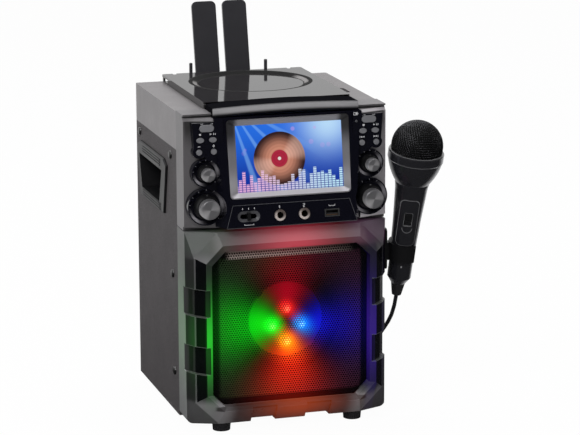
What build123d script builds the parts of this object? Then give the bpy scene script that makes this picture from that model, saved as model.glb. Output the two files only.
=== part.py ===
"""Portable karaoke machine: speaker cabinet, screen and control panel, top-loading disc player.

Millimetres. X points to the right as seen from the front, Y to the rear, Z up.
The origin is on the floor under the middle of the cabinet.
"""

import os
from math import cos, pi, radians, sin, tan

from build123d import *

os.makedirs("parts", exist_ok=True)

# ---------------------------------------------------------------- driving dimensions
BODY_W = 207.0  # cabinet and front mouldings, side to side
HALF_W = BODY_W / 2
RIM_Y = -98.0  # front corner line of the body sides
SEAM_Y = -70.0  # where the front mouldings meet the cabinet
REAR_Y = 100.0  # rear face of the cabinet
FOOT_H = 8.5  # floor to the underside of the body
BEZEL_TOP = 203.5  # top of the speaker bezel
CABINET_TOP = 280.0  # top of the wooden box, under the plastic housing
DECK_Z = 318.5  # top deck of the plastic housing
BOARD = 9.0  # wooden panel thickness
SKIN = 3.0  # plastic wall thickness
SEAT = 0.15  # gap between pieces that seat in one another

# speaker bezel, in front of the rim
OUTER_Y = -110.0  # edge where the sides turn into the faceted frame
RIDGE_Y = -120.0  # foremost edge of the frame
OUTER_HALF = 97.5
OUTER_LEG = 24.0  # corner cut of the outer edge
RIDGE_HALF = 87.4
RIDGE_LOW = 23.2
RIDGE_HIGH = 192.0
RIDGE_LEG = 17.0
MOUTH_Y = -118.0  # inner lip of the frame
MOUTH_HALF = 81.2
MOUTH_LOW = 27.4
MOUTH_HIGH = 185.4
MOUTH_LEG = 13.5
NOTCH_DEPTH = 3.0
SIDE_NOTCHES = ((62.3, 90.0), (120.7, 148.0))  # low and high edge of each, in Z
FLOOR_NOTCHES = ((-40.8, -15.4), (15.4, 40.8))  # left and right edge of each, in X

# speaker behind the bezel
SPEAKER_Z = 107.0
BAFFLE_Y = SEAM_Y - BOARD

# control panel, leaning back in the middle
PLATEAU_Y = -108.5  # upright face that carries keys and knobs
LEAN = 9.2  # degrees
PANEL = Plane(
    origin=(0, -111.3, 275.0),
    x_dir=(1, 0, 0),
    z_dir=(0, -cos(radians(LEAN)), sin(radians(LEAN))),
)
FRAME_LOW = 204.3
FRAME_HIGH = 316.0
LCD_W, LCD_H = 108.0, 64.8
LCD_X = 1.5
JACK_X = 12.4
JACK_V = -56.5  # along the leaning panel, from its middle
JACK_BORE_R = 3.25
USB_X, USB_V = 41.0, -57.5
SELECTOR_X, SELECTOR_V = -44.0, -55.8
BIG_KNOB = (83.5, 229.5)
SMALL_KNOB = (83.7, 263.0)
BIG_DISH_R = 18.6
SMALL_DISH_R = 14.2
WIDE_KEY = (82.6, 307.3)
MID_KEYS = ((76.5, 295.8), (89.2, 295.8))
ROUND_KEYS = ((75.6, 284.0), (90.3, 284.0))

# disc player under the lid
DISC = (2.0, 34.0)
WELL_R = 61.5
WELL_FLOOR = 297.0
LID_HALF = 75.4
LID_FRONT = -71.0
LID_REAR = 99.6
LID_TOP = 326.0
LID_SKIN = 2.2
HINGE_Y, HINGE_Z = 97.6, 323.0
SLED_TRAVEL = 32.0

# tablet stand on the rear
STAND_X = -2.2
STAND_AXIS = (114.0, 318.0)  # Y and Z of its pin
STAND_LEAN = 12.4
PRONG_W = 26.0
PRONG_GAP = 7.2
PRONG_TOP = 394.5

# microphone, standing in a holder on the right side
MIC_AXIS = Vector(0.0602, -0.2, 0.978).normalized()
MIC_END = Vector(121.4, -81.5, 119.0)  # lower end of its strain relief
MIC_ACROSS = Vector(1, 0, 0).cross(MIC_AXIS).normalized()
MIC_SECTION = Plane(
    origin=MIC_END, x_dir=MIC_ACROSS, z_dir=MIC_ACROSS.cross(MIC_AXIS)
)
MIC_LINE = Axis(MIC_END, MIC_AXIS)
CORD_D = 4.0

FRONT = Plane.XZ  # local x is X, local y is Z, its normal points forwards
SIDE = Plane.YZ  # local x is Y, local y is Z, its normal points to the right


def write(piece, label):
    """Name a finished piece and save it."""
    piece.part.label = label
    export_step(piece.part, f"parts/{label}.step")


def outline(*points):
    """Closed polygon on the sketch in progress."""
    Polygon(*points, align=None)


def octagon(half, low, high, leg):
    """Rectangle with its corners cut off, drawn on the sketch in progress."""
    outline(
        (half, low + leg),
        (half, high - leg),
        (half - leg, high),
        (leg - half, high),
        (-half, high - leg),
        (-half, low + leg),
        (leg - half, low),
        (half - leg, low),
    )


# ---------------------------------------------------------------- wooden cabinet
HANDLE_MID_Y = 26.4
HANDLE_TOP, HANDLE_LOW = 262.5, 206.0
HANDLE_HALF_TOP, HANDLE_HALF_LOW = 61.8, 50.0
POCKET_DEPTH = 24.0


def handle_outline(grow):
    """Flared outline of the handle plate, drawn on a side plane."""
    top = HANDLE_HALF_TOP + grow
    low = HANDLE_HALF_LOW + grow
    outline(
        (HANDLE_MID_Y - low, HANDLE_LOW - grow),
        (HANDLE_MID_Y + low, HANDLE_LOW - grow),
        (HANDLE_MID_Y + top, HANDLE_TOP - 5.5),
        (HANDLE_MID_Y + top - 12, HANDLE_TOP + grow),
        (HANDLE_MID_Y - top + 12, HANDLE_TOP + grow),
        (HANDLE_MID_Y - top, HANDLE_TOP - 5.5),
    )


PANEL_HALF, PANEL_LOW, PANEL_HIGH = 42.0, 70.0, 128.0  # connection plate in the rear wall
SCREWS = ((82, 271), (-47, 271), (-51, 151), (-54, 51))  # Y and Z on each side
SCREW_R = 1.6

with BuildPart() as cabinet:
    with BuildSketch(Plane.XY.offset(FOOT_H)):
        with Locations((0, (SEAM_Y + REAR_Y) / 2)):
            Rectangle(BODY_W, REAR_Y - SEAM_Y)
    extrude(amount=CABINET_TOP - FOOT_H)
    fillet(cabinet.edges().filter_by(Axis.Z).group_by(Axis.Y)[-1], 2.5)
    with BuildSketch(Plane.XY.offset(FOOT_H + BOARD)):
        with Locations((0, (SEAM_Y + REAR_Y - BOARD) / 2)):
            Rectangle(BODY_W - 2 * BOARD, REAR_Y - BOARD - SEAM_Y)
    extrude(amount=CABINET_TOP, mode=Mode.SUBTRACT)
    with BuildSketch(SIDE):
        handle_outline(-4.5)
    extrude(amount=HALF_W + 1, both=True, mode=Mode.SUBTRACT)
    with BuildSketch(FRONT.offset(-REAR_Y - 1)):
        with Locations((0, (PANEL_LOW + PANEL_HIGH) / 2)):
            Rectangle(2 * PANEL_HALF - 8, PANEL_HIGH - PANEL_LOW - 8)
    extrude(amount=BOARD + 2, mode=Mode.SUBTRACT)
    with BuildSketch(SIDE):
        with Locations(*SCREWS):
            Circle(SCREW_R + 0.1)
    extrude(amount=HALF_W + 1, both=True, mode=Mode.SUBTRACT)
write(cabinet, "cabinet")


def handle_cup(side):
    """Recessed carrying handle: ribbed plate, flared mouth and closed pocket."""
    wall = Plane(origin=(side * HALF_W, 0, 0), x_dir=(0, side, 0), z_dir=(side, 0, 0))
    mid = side * HANDLE_MID_Y
    mouth_mid = side * (HANDLE_MID_Y + 4)
    with BuildPart() as cup:
        with BuildSketch(wall) as plate:
            outline(
                (mid - HANDLE_HALF_LOW, HANDLE_LOW),
                (mid + HANDLE_HALF_LOW, HANDLE_LOW),
                (mid + HANDLE_HALF_TOP, HANDLE_TOP - 5.5),
                (mid + HANDLE_HALF_TOP - 12, HANDLE_TOP),
                (mid - HANDLE_HALF_TOP + 12, HANDLE_TOP),
                (mid - HANDLE_HALF_TOP, HANDLE_TOP - 5.5),
            )
            fillet(plate.vertices(), 2.0)
        extrude(amount=2.4)
        chamfer(cup.faces().sort_by(Axis.X)[-1 if side > 0 else 0].edges(), 1.2)
        with BuildSketch(wall.offset(0.2)):
            outline(
                (mouth_mid - 41, HANDLE_LOW + 6),
                (mouth_mid + 41, HANDLE_LOW + 6),
                (mouth_mid + 51, HANDLE_TOP - 10),
                (mouth_mid - 51, HANDLE_TOP - 10),
            )
        extrude(amount=-POCKET_DEPTH, taper=4)
        with BuildSketch(wall.offset(2.4)):
            outline(
                (mouth_mid - 36.5, HANDLE_LOW + 9),
                (mouth_mid + 36.5, HANDLE_LOW + 9),
                (mouth_mid + 47.6, HANDLE_TOP - 13.2),
                (mouth_mid - 47.6, HANDLE_TOP - 13.2),
            )
        extrude(amount=-POCKET_DEPTH, taper=3, mode=Mode.SUBTRACT)
        for height in (HANDLE_LOW + 4.5, HANDLE_TOP - 6.6):
            with BuildSketch(wall.offset(1.6)):
                with Locations((mid, height)):
                    with GridLocations(0, 2.6, 1, 3):
                        Rectangle(74, 1.2)
            extrude(amount=1.5)
    return cup


write(handle_cup(-1), "handle_cup_left")
write(handle_cup(1), "handle_cup_right")

# ---------------------------------------------------------------- top housing with the disc well
EAR_X = 60.3  # inner face of each hinge ear
EAR_W = 3.2
SCOOP_X = (72.0, 92.3)  # finger scoop beside the lid's right edge
SCOOP_Y = (-21.0, 5.0)
SCOOP_FLOOR = 311.5
SKIRT_REAR = 97.0
SKIRT_VENT = (76.0, 93.5)

with BuildPart() as top_housing:
    with BuildSketch(Plane.XY.offset(CABINET_TOP)):
        with Locations((0, (SEAM_Y + REAR_Y) / 2)):
            Rectangle(BODY_W, REAR_Y - SEAM_Y)
    extrude(amount=DECK_Z - CABINET_TOP)
    fillet(top_housing.edges().filter_by(Axis.Z).group_by(Axis.Y)[-1], 2.5)
    with BuildSketch(Plane.XY.offset(CABINET_TOP)):
        with Locations((0, (SEAM_Y + REAR_Y) / 2)):
            Rectangle(BODY_W - 2 * SKIN, REAR_Y - SEAM_Y - 2 * SKIN)
    extrude(amount=DECK_Z - CABINET_TOP - SKIN, mode=Mode.SUBTRACT)
    with BuildSketch(Plane.XY.offset(WELL_FLOOR - 2.5)):
        with Locations(DISC):
            Circle(WELL_R + 2.2)
    extrude(amount=DECK_Z - SKIN - WELL_FLOOR + 2.5)
    with BuildSketch(Plane.XY.offset(WELL_FLOOR)):
        with Locations(DISC):
            Circle(WELL_R)
    extrude(amount=DECK_Z, mode=Mode.SUBTRACT)
    with BuildSketch(Plane.XY.offset(WELL_FLOOR - 5)):
        with Locations((DISC[0], DISC[1] - 23)):
            Rectangle(46, 78)
    extrude(amount=5, mode=Mode.SUBTRACT)
    with BuildSketch(Plane.XY.offset(SCOOP_FLOOR - 2)):
        with Locations((sum(SCOOP_X) / 2, sum(SCOOP_Y) / 2)):
            Rectangle(SCOOP_X[1] - SCOOP_X[0] + 4, SCOOP_Y[1] - SCOOP_Y[0] + 4)
    extrude(amount=DECK_Z - SKIN - SCOOP_FLOOR + 2)
    with BuildSketch(Plane.XY.offset(DECK_Z)):
        with Locations((sum(SCOOP_X) / 2, sum(SCOOP_Y) / 2)):
            RectangleRounded(SCOOP_X[1] - SCOOP_X[0], SCOOP_Y[1] - SCOOP_Y[0], 3)
    extrude(amount=SCOOP_FLOOR - DECK_Z, mode=Mode.SUBTRACT)
    ear_mid = EAR_X + EAR_W / 2
    for x in (-ear_mid, ear_mid):
        with BuildSketch(SIDE.offset(x)):
            with Locations((HINGE_Y, HINGE_Z)):
                Circle(2.3)
            with Locations((HINGE_Y, (DECK_Z + HINGE_Z) / 2 - 0.5)):
                Rectangle(4.6, HINGE_Z - DECK_Z + 1)
            with Locations((HINGE_Y, HINGE_Z)):
                Circle(1.28, mode=Mode.SUBTRACT)
        extrude(amount=EAR_W / 2, both=True)
write(top_housing, "top_housing")

with BuildPart() as lid:
    with BuildSketch(Plane.XY.offset(LID_TOP)):
        with Locations((0, (LID_FRONT + LID_REAR) / 2)):
            RectangleRounded(2 * LID_HALF, LID_REAR - LID_FRONT, 2.5)
        for x in (-ear_mid, ear_mid):
            with Locations((x, LID_REAR)):
                Rectangle(EAR_W + 1.2, 10.5, mode=Mode.SUBTRACT)
    extrude(amount=-LID_SKIN)
    # skirt along the front and sides, open at the rear hinge
    with BuildSketch(Plane.XY.offset(LID_TOP - LID_SKIN)):
        with Locations((0, (LID_FRONT + LID_REAR) / 2)):
            RectangleRounded(2 * LID_HALF - 0.8, LID_REAR - LID_FRONT - 0.8, 2.1)
            RectangleRounded(2 * LID_HALF - 4.8, LID_REAR - LID_FRONT - 4.8, 0.5, mode=Mode.SUBTRACT)
        with Locations((0, SKIRT_REAR + 5)):
            Rectangle(2 * LID_HALF, 10, mode=Mode.SUBTRACT)
    extrude(amount=-(LID_TOP - LID_SKIN - DECK_Z - 0.4))
    # vent through the skirt, near the hinge
    with BuildSketch(SIDE):
        with Locations(((SKIRT_VENT[0] + SKIRT_VENT[1]) / 2, LID_TOP - LID_SKIN - 1.85)):
            Rectangle(SKIRT_VENT[1] - SKIRT_VENT[0], 3.7)
    extrude(amount=LID_HALF, both=True, mode=Mode.SUBTRACT)
    # dish of the disc's outline, pressed through the plate
    with BuildSketch(Plane.XY.offset(LID_TOP - LID_SKIN)):
        with Locations(DISC):
            Circle(62.0)
    extrude(amount=-1.6)
    with BuildSketch(Plane.XY.offset(LID_TOP)):
        with Locations(DISC):
            Circle(61.0)
    with BuildSketch(Plane.XY.offset(LID_TOP - 2.4)):
        with Locations(DISC):
            Circle(54.5)
    loft(mode=Mode.SUBTRACT)
    for x in (-1, 1):
        with BuildSketch(SIDE.offset(x * (EAR_X - 5.4))):
            with Locations((HINGE_Y, HINGE_Z)):
                Circle(2.3)
            with Locations((HINGE_Y, (HINGE_Z + LID_TOP - 1) / 2)):
                Rectangle(3.6, LID_TOP - 1 - HINGE_Z)
        extrude(amount=5, both=True)
        with BuildSketch(SIDE.offset(x * (EAR_X - 2))):
            with Locations((HINGE_Y, HINGE_Z)):
                Circle(1.2)
        extrude(amount=x * (EAR_W + 4))
write(lid, "lid")

# ---------------------------------------------------------------- control panel mouldings
CHEEK_X = 74.0  # where each slanted cheek reaches the plateau
CHEEK_Y = -107.4
VISOR_HALF = 74.0


def fascia_outline(grow):
    """Black panel with round lobes at the keys and knobs, drawn on a front plane."""
    outline(
        (-74 - grow, 209),
        (74 + grow, 209),
        (76 + grow, 240),
        (84 + grow, 246),
        (84 + grow, 278),
        (95.3 + grow, 286),
        (97 + grow, 312.6),
        (75.2, 312.6),
        (75.2, 316),
        (-75.2, 316),
        (-75.2, 312.6),
        (-97 - grow, 312.6),
        (-95.3 - grow, 286),
        (-84 - grow, 278),
        (-84 - grow, 246),
        (-76 - grow, 240),
    )
    for x in (-1, 1):
        with Locations((x * BIG_KNOB[0], BIG_KNOB[1])):
            Circle(BIG_DISH_R + grow)
        with Locations((x * SMALL_KNOB[0], SMALL_KNOB[1])):
            Circle(SMALL_DISH_R + grow)
        with Locations((x * ROUND_KEYS[1][0], ROUND_KEYS[1][1])):
            Circle(6.2 + grow)


with BuildPart() as front_frame:
    with BuildSketch(Plane.XY.offset(FRAME_LOW)):
        outline(
            (-HALF_W, SEAM_Y),
            (-HALF_W, RIM_Y),
            (-CHEEK_X, CHEEK_Y),
            (CHEEK_X, CHEEK_Y),
            (HALF_W, RIM_Y),
            (HALF_W, SEAM_Y),
        )
    extrude(amount=FRAME_HIGH - FRAME_LOW)
    chamfer(front_frame.faces().sort_by(Axis.Z)[-1].edges().group_by(Axis.Y)[:2], 3.0)
    with BuildSketch(Plane.XY.offset(FRAME_HIGH)):
        with Locations((0, (SEAM_Y - 94) / 2)):
            Rectangle(BODY_W, -94 - SEAM_Y)
    extrude(amount=2)
    with BuildSketch(Plane.XY.offset(FRAME_HIGH + 2)):
        with Locations((0, (SEAM_Y - 97.5) / 2)):
            Rectangle(BODY_W, -97.5 - SEAM_Y)
    extrude(amount=1.6)
    # hollow from the rear, with an open seat for the visor
    with BuildSketch(Plane.XY.offset(FRAME_LOW + SKIN)):
        with Locations((0, (SEAM_Y - 96) / 2)):
            Rectangle(BODY_W - 2 * SKIN, -96 - SEAM_Y)
    extrude(amount=FRAME_HIGH - FRAME_LOW - 2 * SKIN, mode=Mode.SUBTRACT)
    with BuildSketch(Plane.XY.offset(FRAME_HIGH - 1)):
        with Locations((0, -90)):
            Rectangle(2 * VISOR_HALF + 1.6, 60)
    extrude(amount=12, mode=Mode.SUBTRACT)
    # shadow gap over the speaker bezel
    with BuildSketch(Plane.XY.offset(FRAME_LOW)):
        with Locations((0, -112)):
            Rectangle(2 * HALF_W + 2, 36)
    extrude(amount=3.7, mode=Mode.SUBTRACT)
    with BuildSketch(FRONT.offset(90)):
        fascia_outline(SEAT)
    extrude(amount=30, mode=Mode.SUBTRACT)
write(front_frame, "front_frame")

with BuildPart() as visor:
    with BuildSketch(FRONT.offset(74)):
        with BuildLine():
            Line((-VISOR_HALF, 316.2), (-VISOR_HALF, 324.6))
            ThreePointArc((-VISOR_HALF, 324.6), (0, 327.4), (VISOR_HALF, 324.6))
            Line((VISOR_HALF, 324.6), (VISOR_HALF, 316.2))
            Line((VISOR_HALF, 316.2), (VISOR_HALF - 3, 316.2))
            ThreePointArc((VISOR_HALF - 3, 316.2), (0, 319.2), (3 - VISOR_HALF, 316.2))
            Line((3 - VISOR_HALF, 316.2), (-VISOR_HALF, 316.2))
        make_face()
    extrude(amount=40)
    with BuildSketch(Plane.XY.offset(300)):
        with BuildLine():
            ThreePointArc((-VISOR_HALF, -101.5), (0, -105.5), (VISOR_HALF, -101.5))
            Polyline(
                (VISOR_HALF, -101.5),
                (VISOR_HALF, LID_FRONT - 1.2),
                (-VISOR_HALF, LID_FRONT - 1.2),
                (-VISOR_HALF, -101.5),
            )
        make_face()
    extrude(amount=40, mode=Mode.INTERSECT)
    fillet(visor.faces().sort_by(Axis.Z)[-1].edges().sort_by(Axis.Y)[0], 1.8)
write(visor, "visor")

DISH_DEPTH = 3.2
WINDOW_LOW, WINDOW_HIGH = -38.5, 39.0  # bezel outline along the leaning panel
WINDOW_HALF_LOW, WINDOW_HALF_HIGH = 61.5, 62.6
WINDOW_CORNER_R = 4.0


def window(grow):
    """Slightly flared outline of the screen bezel, drawn on the leaning panel."""
    outline(
        (-WINDOW_HALF_LOW - grow, WINDOW_LOW - grow),
        (WINDOW_HALF_LOW + grow, WINDOW_LOW - grow),
        (WINDOW_HALF_HIGH + grow, WINDOW_HIGH + grow),
        (-WINDOW_HALF_HIGH - grow, WINDOW_HIGH + grow),
    )
    fillet(vertices(), WINDOW_CORNER_R + grow)


with BuildPart() as fascia:
    with BuildSketch(FRONT.offset(96.5)):
        fascia_outline(0)
    extrude(amount=-PLATEAU_Y - 96.5)
    # wedge that carries the screen and the sockets forwards at its foot
    with BuildSketch(Plane.XY.offset(209)):
        outline((-73, -100), (-73, PLATEAU_Y), (-64, -124), (64, -124), (73, PLATEAU_Y), (73, -100))
    extrude(amount=107)
    with BuildSketch(PANEL):
        Rectangle(300, 300)
    extrude(amount=40, mode=Mode.SUBTRACT)
    with BuildSketch(FRONT.offset(96.5)):
        fascia_outline(0)
        with Locations((0, 262.5)):
            Rectangle(132, 110, mode=Mode.SUBTRACT)
    extrude(amount=-PLATEAU_Y - 96.5)
    with BuildSketch(PANEL.offset(20)):
        window(0)
    extrude(amount=-40, mode=Mode.SUBTRACT)
    with BuildSketch(PANEL.offset(-3)):
        with Locations((0, -12.5)):
            Rectangle(122, 100)
    extrude(amount=-40, mode=Mode.SUBTRACT)
    # dishes round the knobs
    for x in (-1, 1):
        for (kx, kz), dish in ((BIG_KNOB, BIG_DISH_R), (SMALL_KNOB, SMALL_DISH_R)):
            with BuildSketch(FRONT.offset(-PLATEAU_Y)):
                with Locations((x * kx, kz)):
                    Circle(dish - 1.2)
            extrude(amount=-DISH_DEPTH, taper=40, mode=Mode.SUBTRACT)
            with BuildSketch(FRONT.offset(-PLATEAU_Y)):
                with Locations((x * kx, kz)):
                    Circle(dish - 1.2)
            extrude(amount=20, mode=Mode.SUBTRACT)
            with BuildSketch(FRONT.offset(90)):
                with Locations((x * kx, kz)):
                    Circle(4.2)
            extrude(amount=30, mode=Mode.SUBTRACT)
    # holes for the keys
    with BuildSketch(FRONT.offset(90)):
        for x in (-1, 1):
            with Locations((x * WIDE_KEY[0], WIDE_KEY[1])):
                SlotOverall(14.6 + 0.6, 7.0 + 0.6)
            for kx, kz in MID_KEYS:
                with Locations((x * kx, kz)):
                    Ellipse(3.75 + 0.3, 2.6 + 0.3)
            for kx, kz in ROUND_KEYS:
                with Locations((x * kx, kz)):
                    Circle(2.9 + 0.3)
    extrude(amount=40, mode=Mode.SUBTRACT)
    # sockets and selector in the strip under the screen
    with BuildSketch(PANEL):
        for x in (-JACK_X, JACK_X):
            with Locations((x, JACK_V)):
                Circle(4.8)
        with Locations((USB_X, USB_V)):
            Rectangle(15.4, 8.0)
        with Locations((SELECTOR_X, SELECTOR_V)):
            SlotOverall(16, 4.2)
    extrude(amount=-30, mode=Mode.SUBTRACT)
    with BuildSketch(PANEL):
        with Locations((SELECTOR_X, SELECTOR_V)):
            SlotOverall(23, 11)
    extrude(amount=-1.6, mode=Mode.SUBTRACT)
write(fascia, "fascia")

with BuildPart() as screen_bezel:
    with BuildSketch(PANEL.offset(0.4)):
        window(-SEAT)
    extrude(amount=-8)
    with BuildSketch(PANEL.offset(0.4)):
        window(-1.2)
    with BuildSketch(PANEL.offset(-3.4)):
        with Locations((LCD_X, 0)):
            RectangleRounded(LCD_W + 0.4, LCD_H + 0.8, 0.5)
    loft(mode=Mode.SUBTRACT)
    with BuildSketch(PANEL):
        with Locations((LCD_X, 0)):
            RectangleRounded(LCD_W + 0.4, LCD_H + 0.8, 0.5)
    extrude(amount=-12, mode=Mode.SUBTRACT)
    with BuildSketch(PANEL.offset(-4.2)):
        with Locations((LCD_X, 0)):
            Rectangle(LCD_W + 8, LCD_H + 7)
    extrude(amount=-8, mode=Mode.SUBTRACT)
write(screen_bezel, "screen_bezel")

with BuildPart() as lcd_panel:
    with BuildSketch(PANEL.offset(-4.2)):
        with Locations((LCD_X, 0)):
            Rectangle(LCD_W + 7.6, LCD_H + 6.6)
    extrude(amount=-3.2)
write(lcd_panel, "lcd_panel")

# ---------------------------------------------------------------- keys, selector, knobs
KEY_FRONT = -PLATEAU_Y + 1.2
KEY_LENGTH = 12.0


def key(shape, x, z, label):
    """Push key that stands a little out of the fascia; shape draws its face."""
    with BuildPart() as button:
        with BuildSketch(FRONT.offset(KEY_FRONT)):
            with Locations((x, z)):
                shape()
        extrude(amount=-KEY_LENGTH)
        fillet(button.faces().sort_by(Axis.Y)[0].edges(), 0.5)
    write(button, label)


def wide_key():
    SlotOverall(14.6, 7.0)


def mid_key():
    Ellipse(3.75, 2.6)


def round_key():
    Circle(2.9)


for side_name, x in (("left", -1), ("right", 1)):
    key(wide_key, x * WIDE_KEY[0], WIDE_KEY[1], f"wide_key_{side_name}")
    for place, (kx, kz) in zip(("inner", "outer"), MID_KEYS):
        key(mid_key, x * kx, kz, f"oval_key_{side_name}_{place}")
    for place, (kx, kz) in zip(("inner", "outer"), ROUND_KEYS):
        key(round_key, x * kx, kz, f"round_key_{side_name}_{place}")

SHAFT_R = 3.0
BIG_CAP = (10.0, 12.6, 19.5)  # cap radius, skirt radius, how far it stands out
SMALL_CAP = (6.8, 8.6, 16.0)


def knob(x, z, sizes, label):
    """Turned knob: dark skirt, narrower metal cap with a rounded edge, blind shaft bore."""
    cap_r, skirt_r, reach = sizes
    base = Plane(origin=(x, PLATEAU_Y + DISH_DEPTH - 0.6, z), x_dir=(1, 0, 0), z_dir=(0, -1, 0))
    profile = Plane(origin=base.origin, x_dir=(1, 0, 0), z_dir=(0, 0, 1))
    with BuildPart() as turned:
        with BuildSketch(profile):
            with BuildLine():
                Polyline(
                    (0, 0),
                    (skirt_r, 0),
                    (cap_r + 0.9, -reach * 0.55),
                    (cap_r, -reach * 0.58),
                    (cap_r - 0.2, -reach + 1.4),
                )
                RadiusArc((cap_r - 0.2, -reach + 1.4), (cap_r - 1.6, -reach), 1.5)
                Polyline((cap_r - 1.6, -reach), (0, -reach), (0, 0))
            make_face()
        revolve(axis=Axis(base.origin, (0, 1, 0)))
        with BuildSketch(base):
            Circle(SHAFT_R + 0.05)
        extrude(amount=reach * 0.7, mode=Mode.SUBTRACT)
    write(turned, label)


knob(-SMALL_KNOB[0], SMALL_KNOB[1], SMALL_CAP, "echo_knob")
knob(-BIG_KNOB[0], BIG_KNOB[1], BIG_CAP, "mic_volume_knob")
knob(SMALL_KNOB[0], SMALL_KNOB[1], SMALL_CAP, "balance_knob")
knob(BIG_KNOB[0], BIG_KNOB[1], BIG_CAP, "master_volume_knob")

with BuildPart() as potentiometers:
    for x in (-1, 1):
        for (kx, kz), reach in ((BIG_KNOB, 12.0), (SMALL_KNOB, 10.0)):
            with BuildSketch(FRONT.offset(88)):
                with Locations((x * kx, kz)):
                    Circle(8)
            extrude(amount=8)
            with BuildSketch(FRONT.offset(96)):
                with Locations((x * kx, kz)):
                    Circle(SHAFT_R)
            extrude(amount=9 + reach)
write(potentiometers, "potentiometers")

with BuildPart() as selector_switch:
    with BuildSketch(PANEL.offset(-1.5)):
        with Locations((SELECTOR_X, SELECTOR_V)):
            Rectangle(3.4, 7.6)
    extrude(amount=4.2)
    fillet(selector_switch.faces().sort_by(Axis.Y)[0].edges(), 0.6)
    with BuildSketch(PANEL.offset(-1.5)):
        with Locations((SELECTOR_X, SELECTOR_V)):
            Rectangle(3.0, 3.2)
    extrude(amount=-5)
write(selector_switch, "selector_switch")

with BuildPart() as mic_jacks:
    for x in (-JACK_X, JACK_X):
        with BuildSketch(PANEL.offset(1.4)):
            with Locations((x, JACK_V)):
                Circle(5.6)
        extrude(amount=-1.4)
        with BuildSketch(PANEL):
            with Locations((x, JACK_V)):
                Circle(4.6)
        extrude(amount=-8)
        with BuildSketch(PANEL.offset(-8)):
            with Locations((x, JACK_V + 1)):
                Rectangle(14, 12)
        extrude(amount=-14)
        with BuildSketch(PANEL.offset(1.4)):
            with Locations((x, JACK_V)):
                Circle(JACK_BORE_R)
        extrude(amount=-22, mode=Mode.SUBTRACT)
write(mic_jacks, "mic_jacks")

with BuildPart() as usb_port:
    with BuildSketch(PANEL.offset(0.3)):
        with Locations((USB_X, USB_V)):
            Rectangle(15.1, 7.7)
    extrude(amount=-14)
    with BuildSketch(PANEL.offset(0.3)):
        with Locations((USB_X, USB_V)):
            Rectangle(12.6, 5.2)
    extrude(amount=-12, mode=Mode.SUBTRACT)
    with BuildSketch(PANEL.offset(-1.5)):
        with Locations((USB_X, USB_V - 1.2)):
            Rectangle(11.4, 1.8)
    extrude(amount=-11.5)
write(usb_port, "usb_port")

# ---------------------------------------------------------------- speaker bezel and its guards
BODY_MID_Z = (FOOT_H + BEZEL_TOP) / 2
GUARD_BACK = -106.0


def notch_section(side):
    """Plan of what lies outside the skin of a notch, on one side of the frame."""
    outline(
        (side * 112, -91.3),
        (side * 103.5, -91.3),
        (side * 95.0, -108.3),
        (side * 83.2, -120.0),
        (side * 83.2, -126.0),
        (side * 112, -126.0),
    )


with BuildPart() as frame_shape:
    with BuildSketch(FRONT.offset(-SEAM_Y)):
        with Locations((0, BODY_MID_Z)):
            Rectangle(BODY_W, BEZEL_TOP - FOOT_H)
    extrude(amount=SEAM_Y - OUTER_Y)
    low_corners = frame_shape.edges().filter_by(Axis.Y).group_by(Axis.Z)[0]
    fillet(low_corners, 6.0)
    # sides slant in from the rim to the outer edge, and a facet cuts each corner
    for x in (-1, 1):
        side_cut = Plane(
            origin=(x * HALF_W, RIM_Y, 0),
            x_dir=(0, 0, 1),
            z_dir=(x * (RIM_Y - OUTER_Y), OUTER_HALF - HALF_W, 0),
        )
        split(bisect_by=side_cut, keep=Keep.BOTTOM)
        for z, z_way in ((BEZEL_TOP, 1), (FOOT_H, -1)):
            corner = Vector(x * HALF_W, RIM_Y, z)
            along_top = Vector(x * (OUTER_HALF - OUTER_LEG), OUTER_Y, z) - corner
            along_side = Vector(x * OUTER_HALF, OUTER_Y, z - z_way * OUTER_LEG) - corner
            facing = along_top.cross(along_side)
            if facing.Y > 0:
                facing = -facing
            split(bisect_by=Plane(origin=corner, z_dir=facing), keep=Keep.BOTTOM)
    with BuildSketch(FRONT.offset(-OUTER_Y)):
        octagon(OUTER_HALF, FOOT_H, BEZEL_TOP, OUTER_LEG)
    with BuildSketch(FRONT.offset(-RIDGE_Y)):
        octagon(RIDGE_HALF, RIDGE_LOW, RIDGE_HIGH, RIDGE_LEG)
    loft()
    # lip that slopes in to the mouth
    with BuildSketch(FRONT.offset(-RIDGE_Y)):
        octagon(RIDGE_HALF - 0.4, RIDGE_LOW + 0.4, RIDGE_HIGH - 0.4, RIDGE_LEG)
    with BuildSketch(FRONT.offset(-MOUTH_Y)):
        octagon(MOUTH_HALF, MOUTH_LOW, MOUTH_HIGH, MOUTH_LEG)
    loft(mode=Mode.SUBTRACT)
    # notches in the sides and in the underside
    for low, high in SIDE_NOTCHES:
        for x in (-1, 1):
            with BuildSketch(Plane.XY.offset(low)):
                notch_section(x)
            extrude(amount=high - low, mode=Mode.SUBTRACT)
    for left, right in FLOOR_NOTCHES:
        with BuildSketch(SIDE.offset(left)):
            outline(
                (-97, 0),
                (-97, FOOT_H),
                (-99, FOOT_H + NOTCH_DEPTH),
                (-108.6, FOOT_H + NOTCH_DEPTH),
                (-120, RIDGE_LOW + 4.2),
                (-126, RIDGE_LOW + 4.2),
                (-126, 0),
            )
        extrude(amount=right - left, mode=Mode.SUBTRACT)


def guard_outline(x):
    """Front view of the black strip between the outer edge and the ridge."""
    outline(
        (x * (OUTER_HALF - 1.5), BEZEL_TOP - OUTER_LEG - 0.6),
        (x * RIDGE_HALF, RIDGE_HIGH - RIDGE_LEG),
        (x * RIDGE_HALF, RIDGE_LOW + RIDGE_LEG),
        (x * (OUTER_HALF - 1.5), FOOT_H + OUTER_LEG + 0.6),
    )


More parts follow.
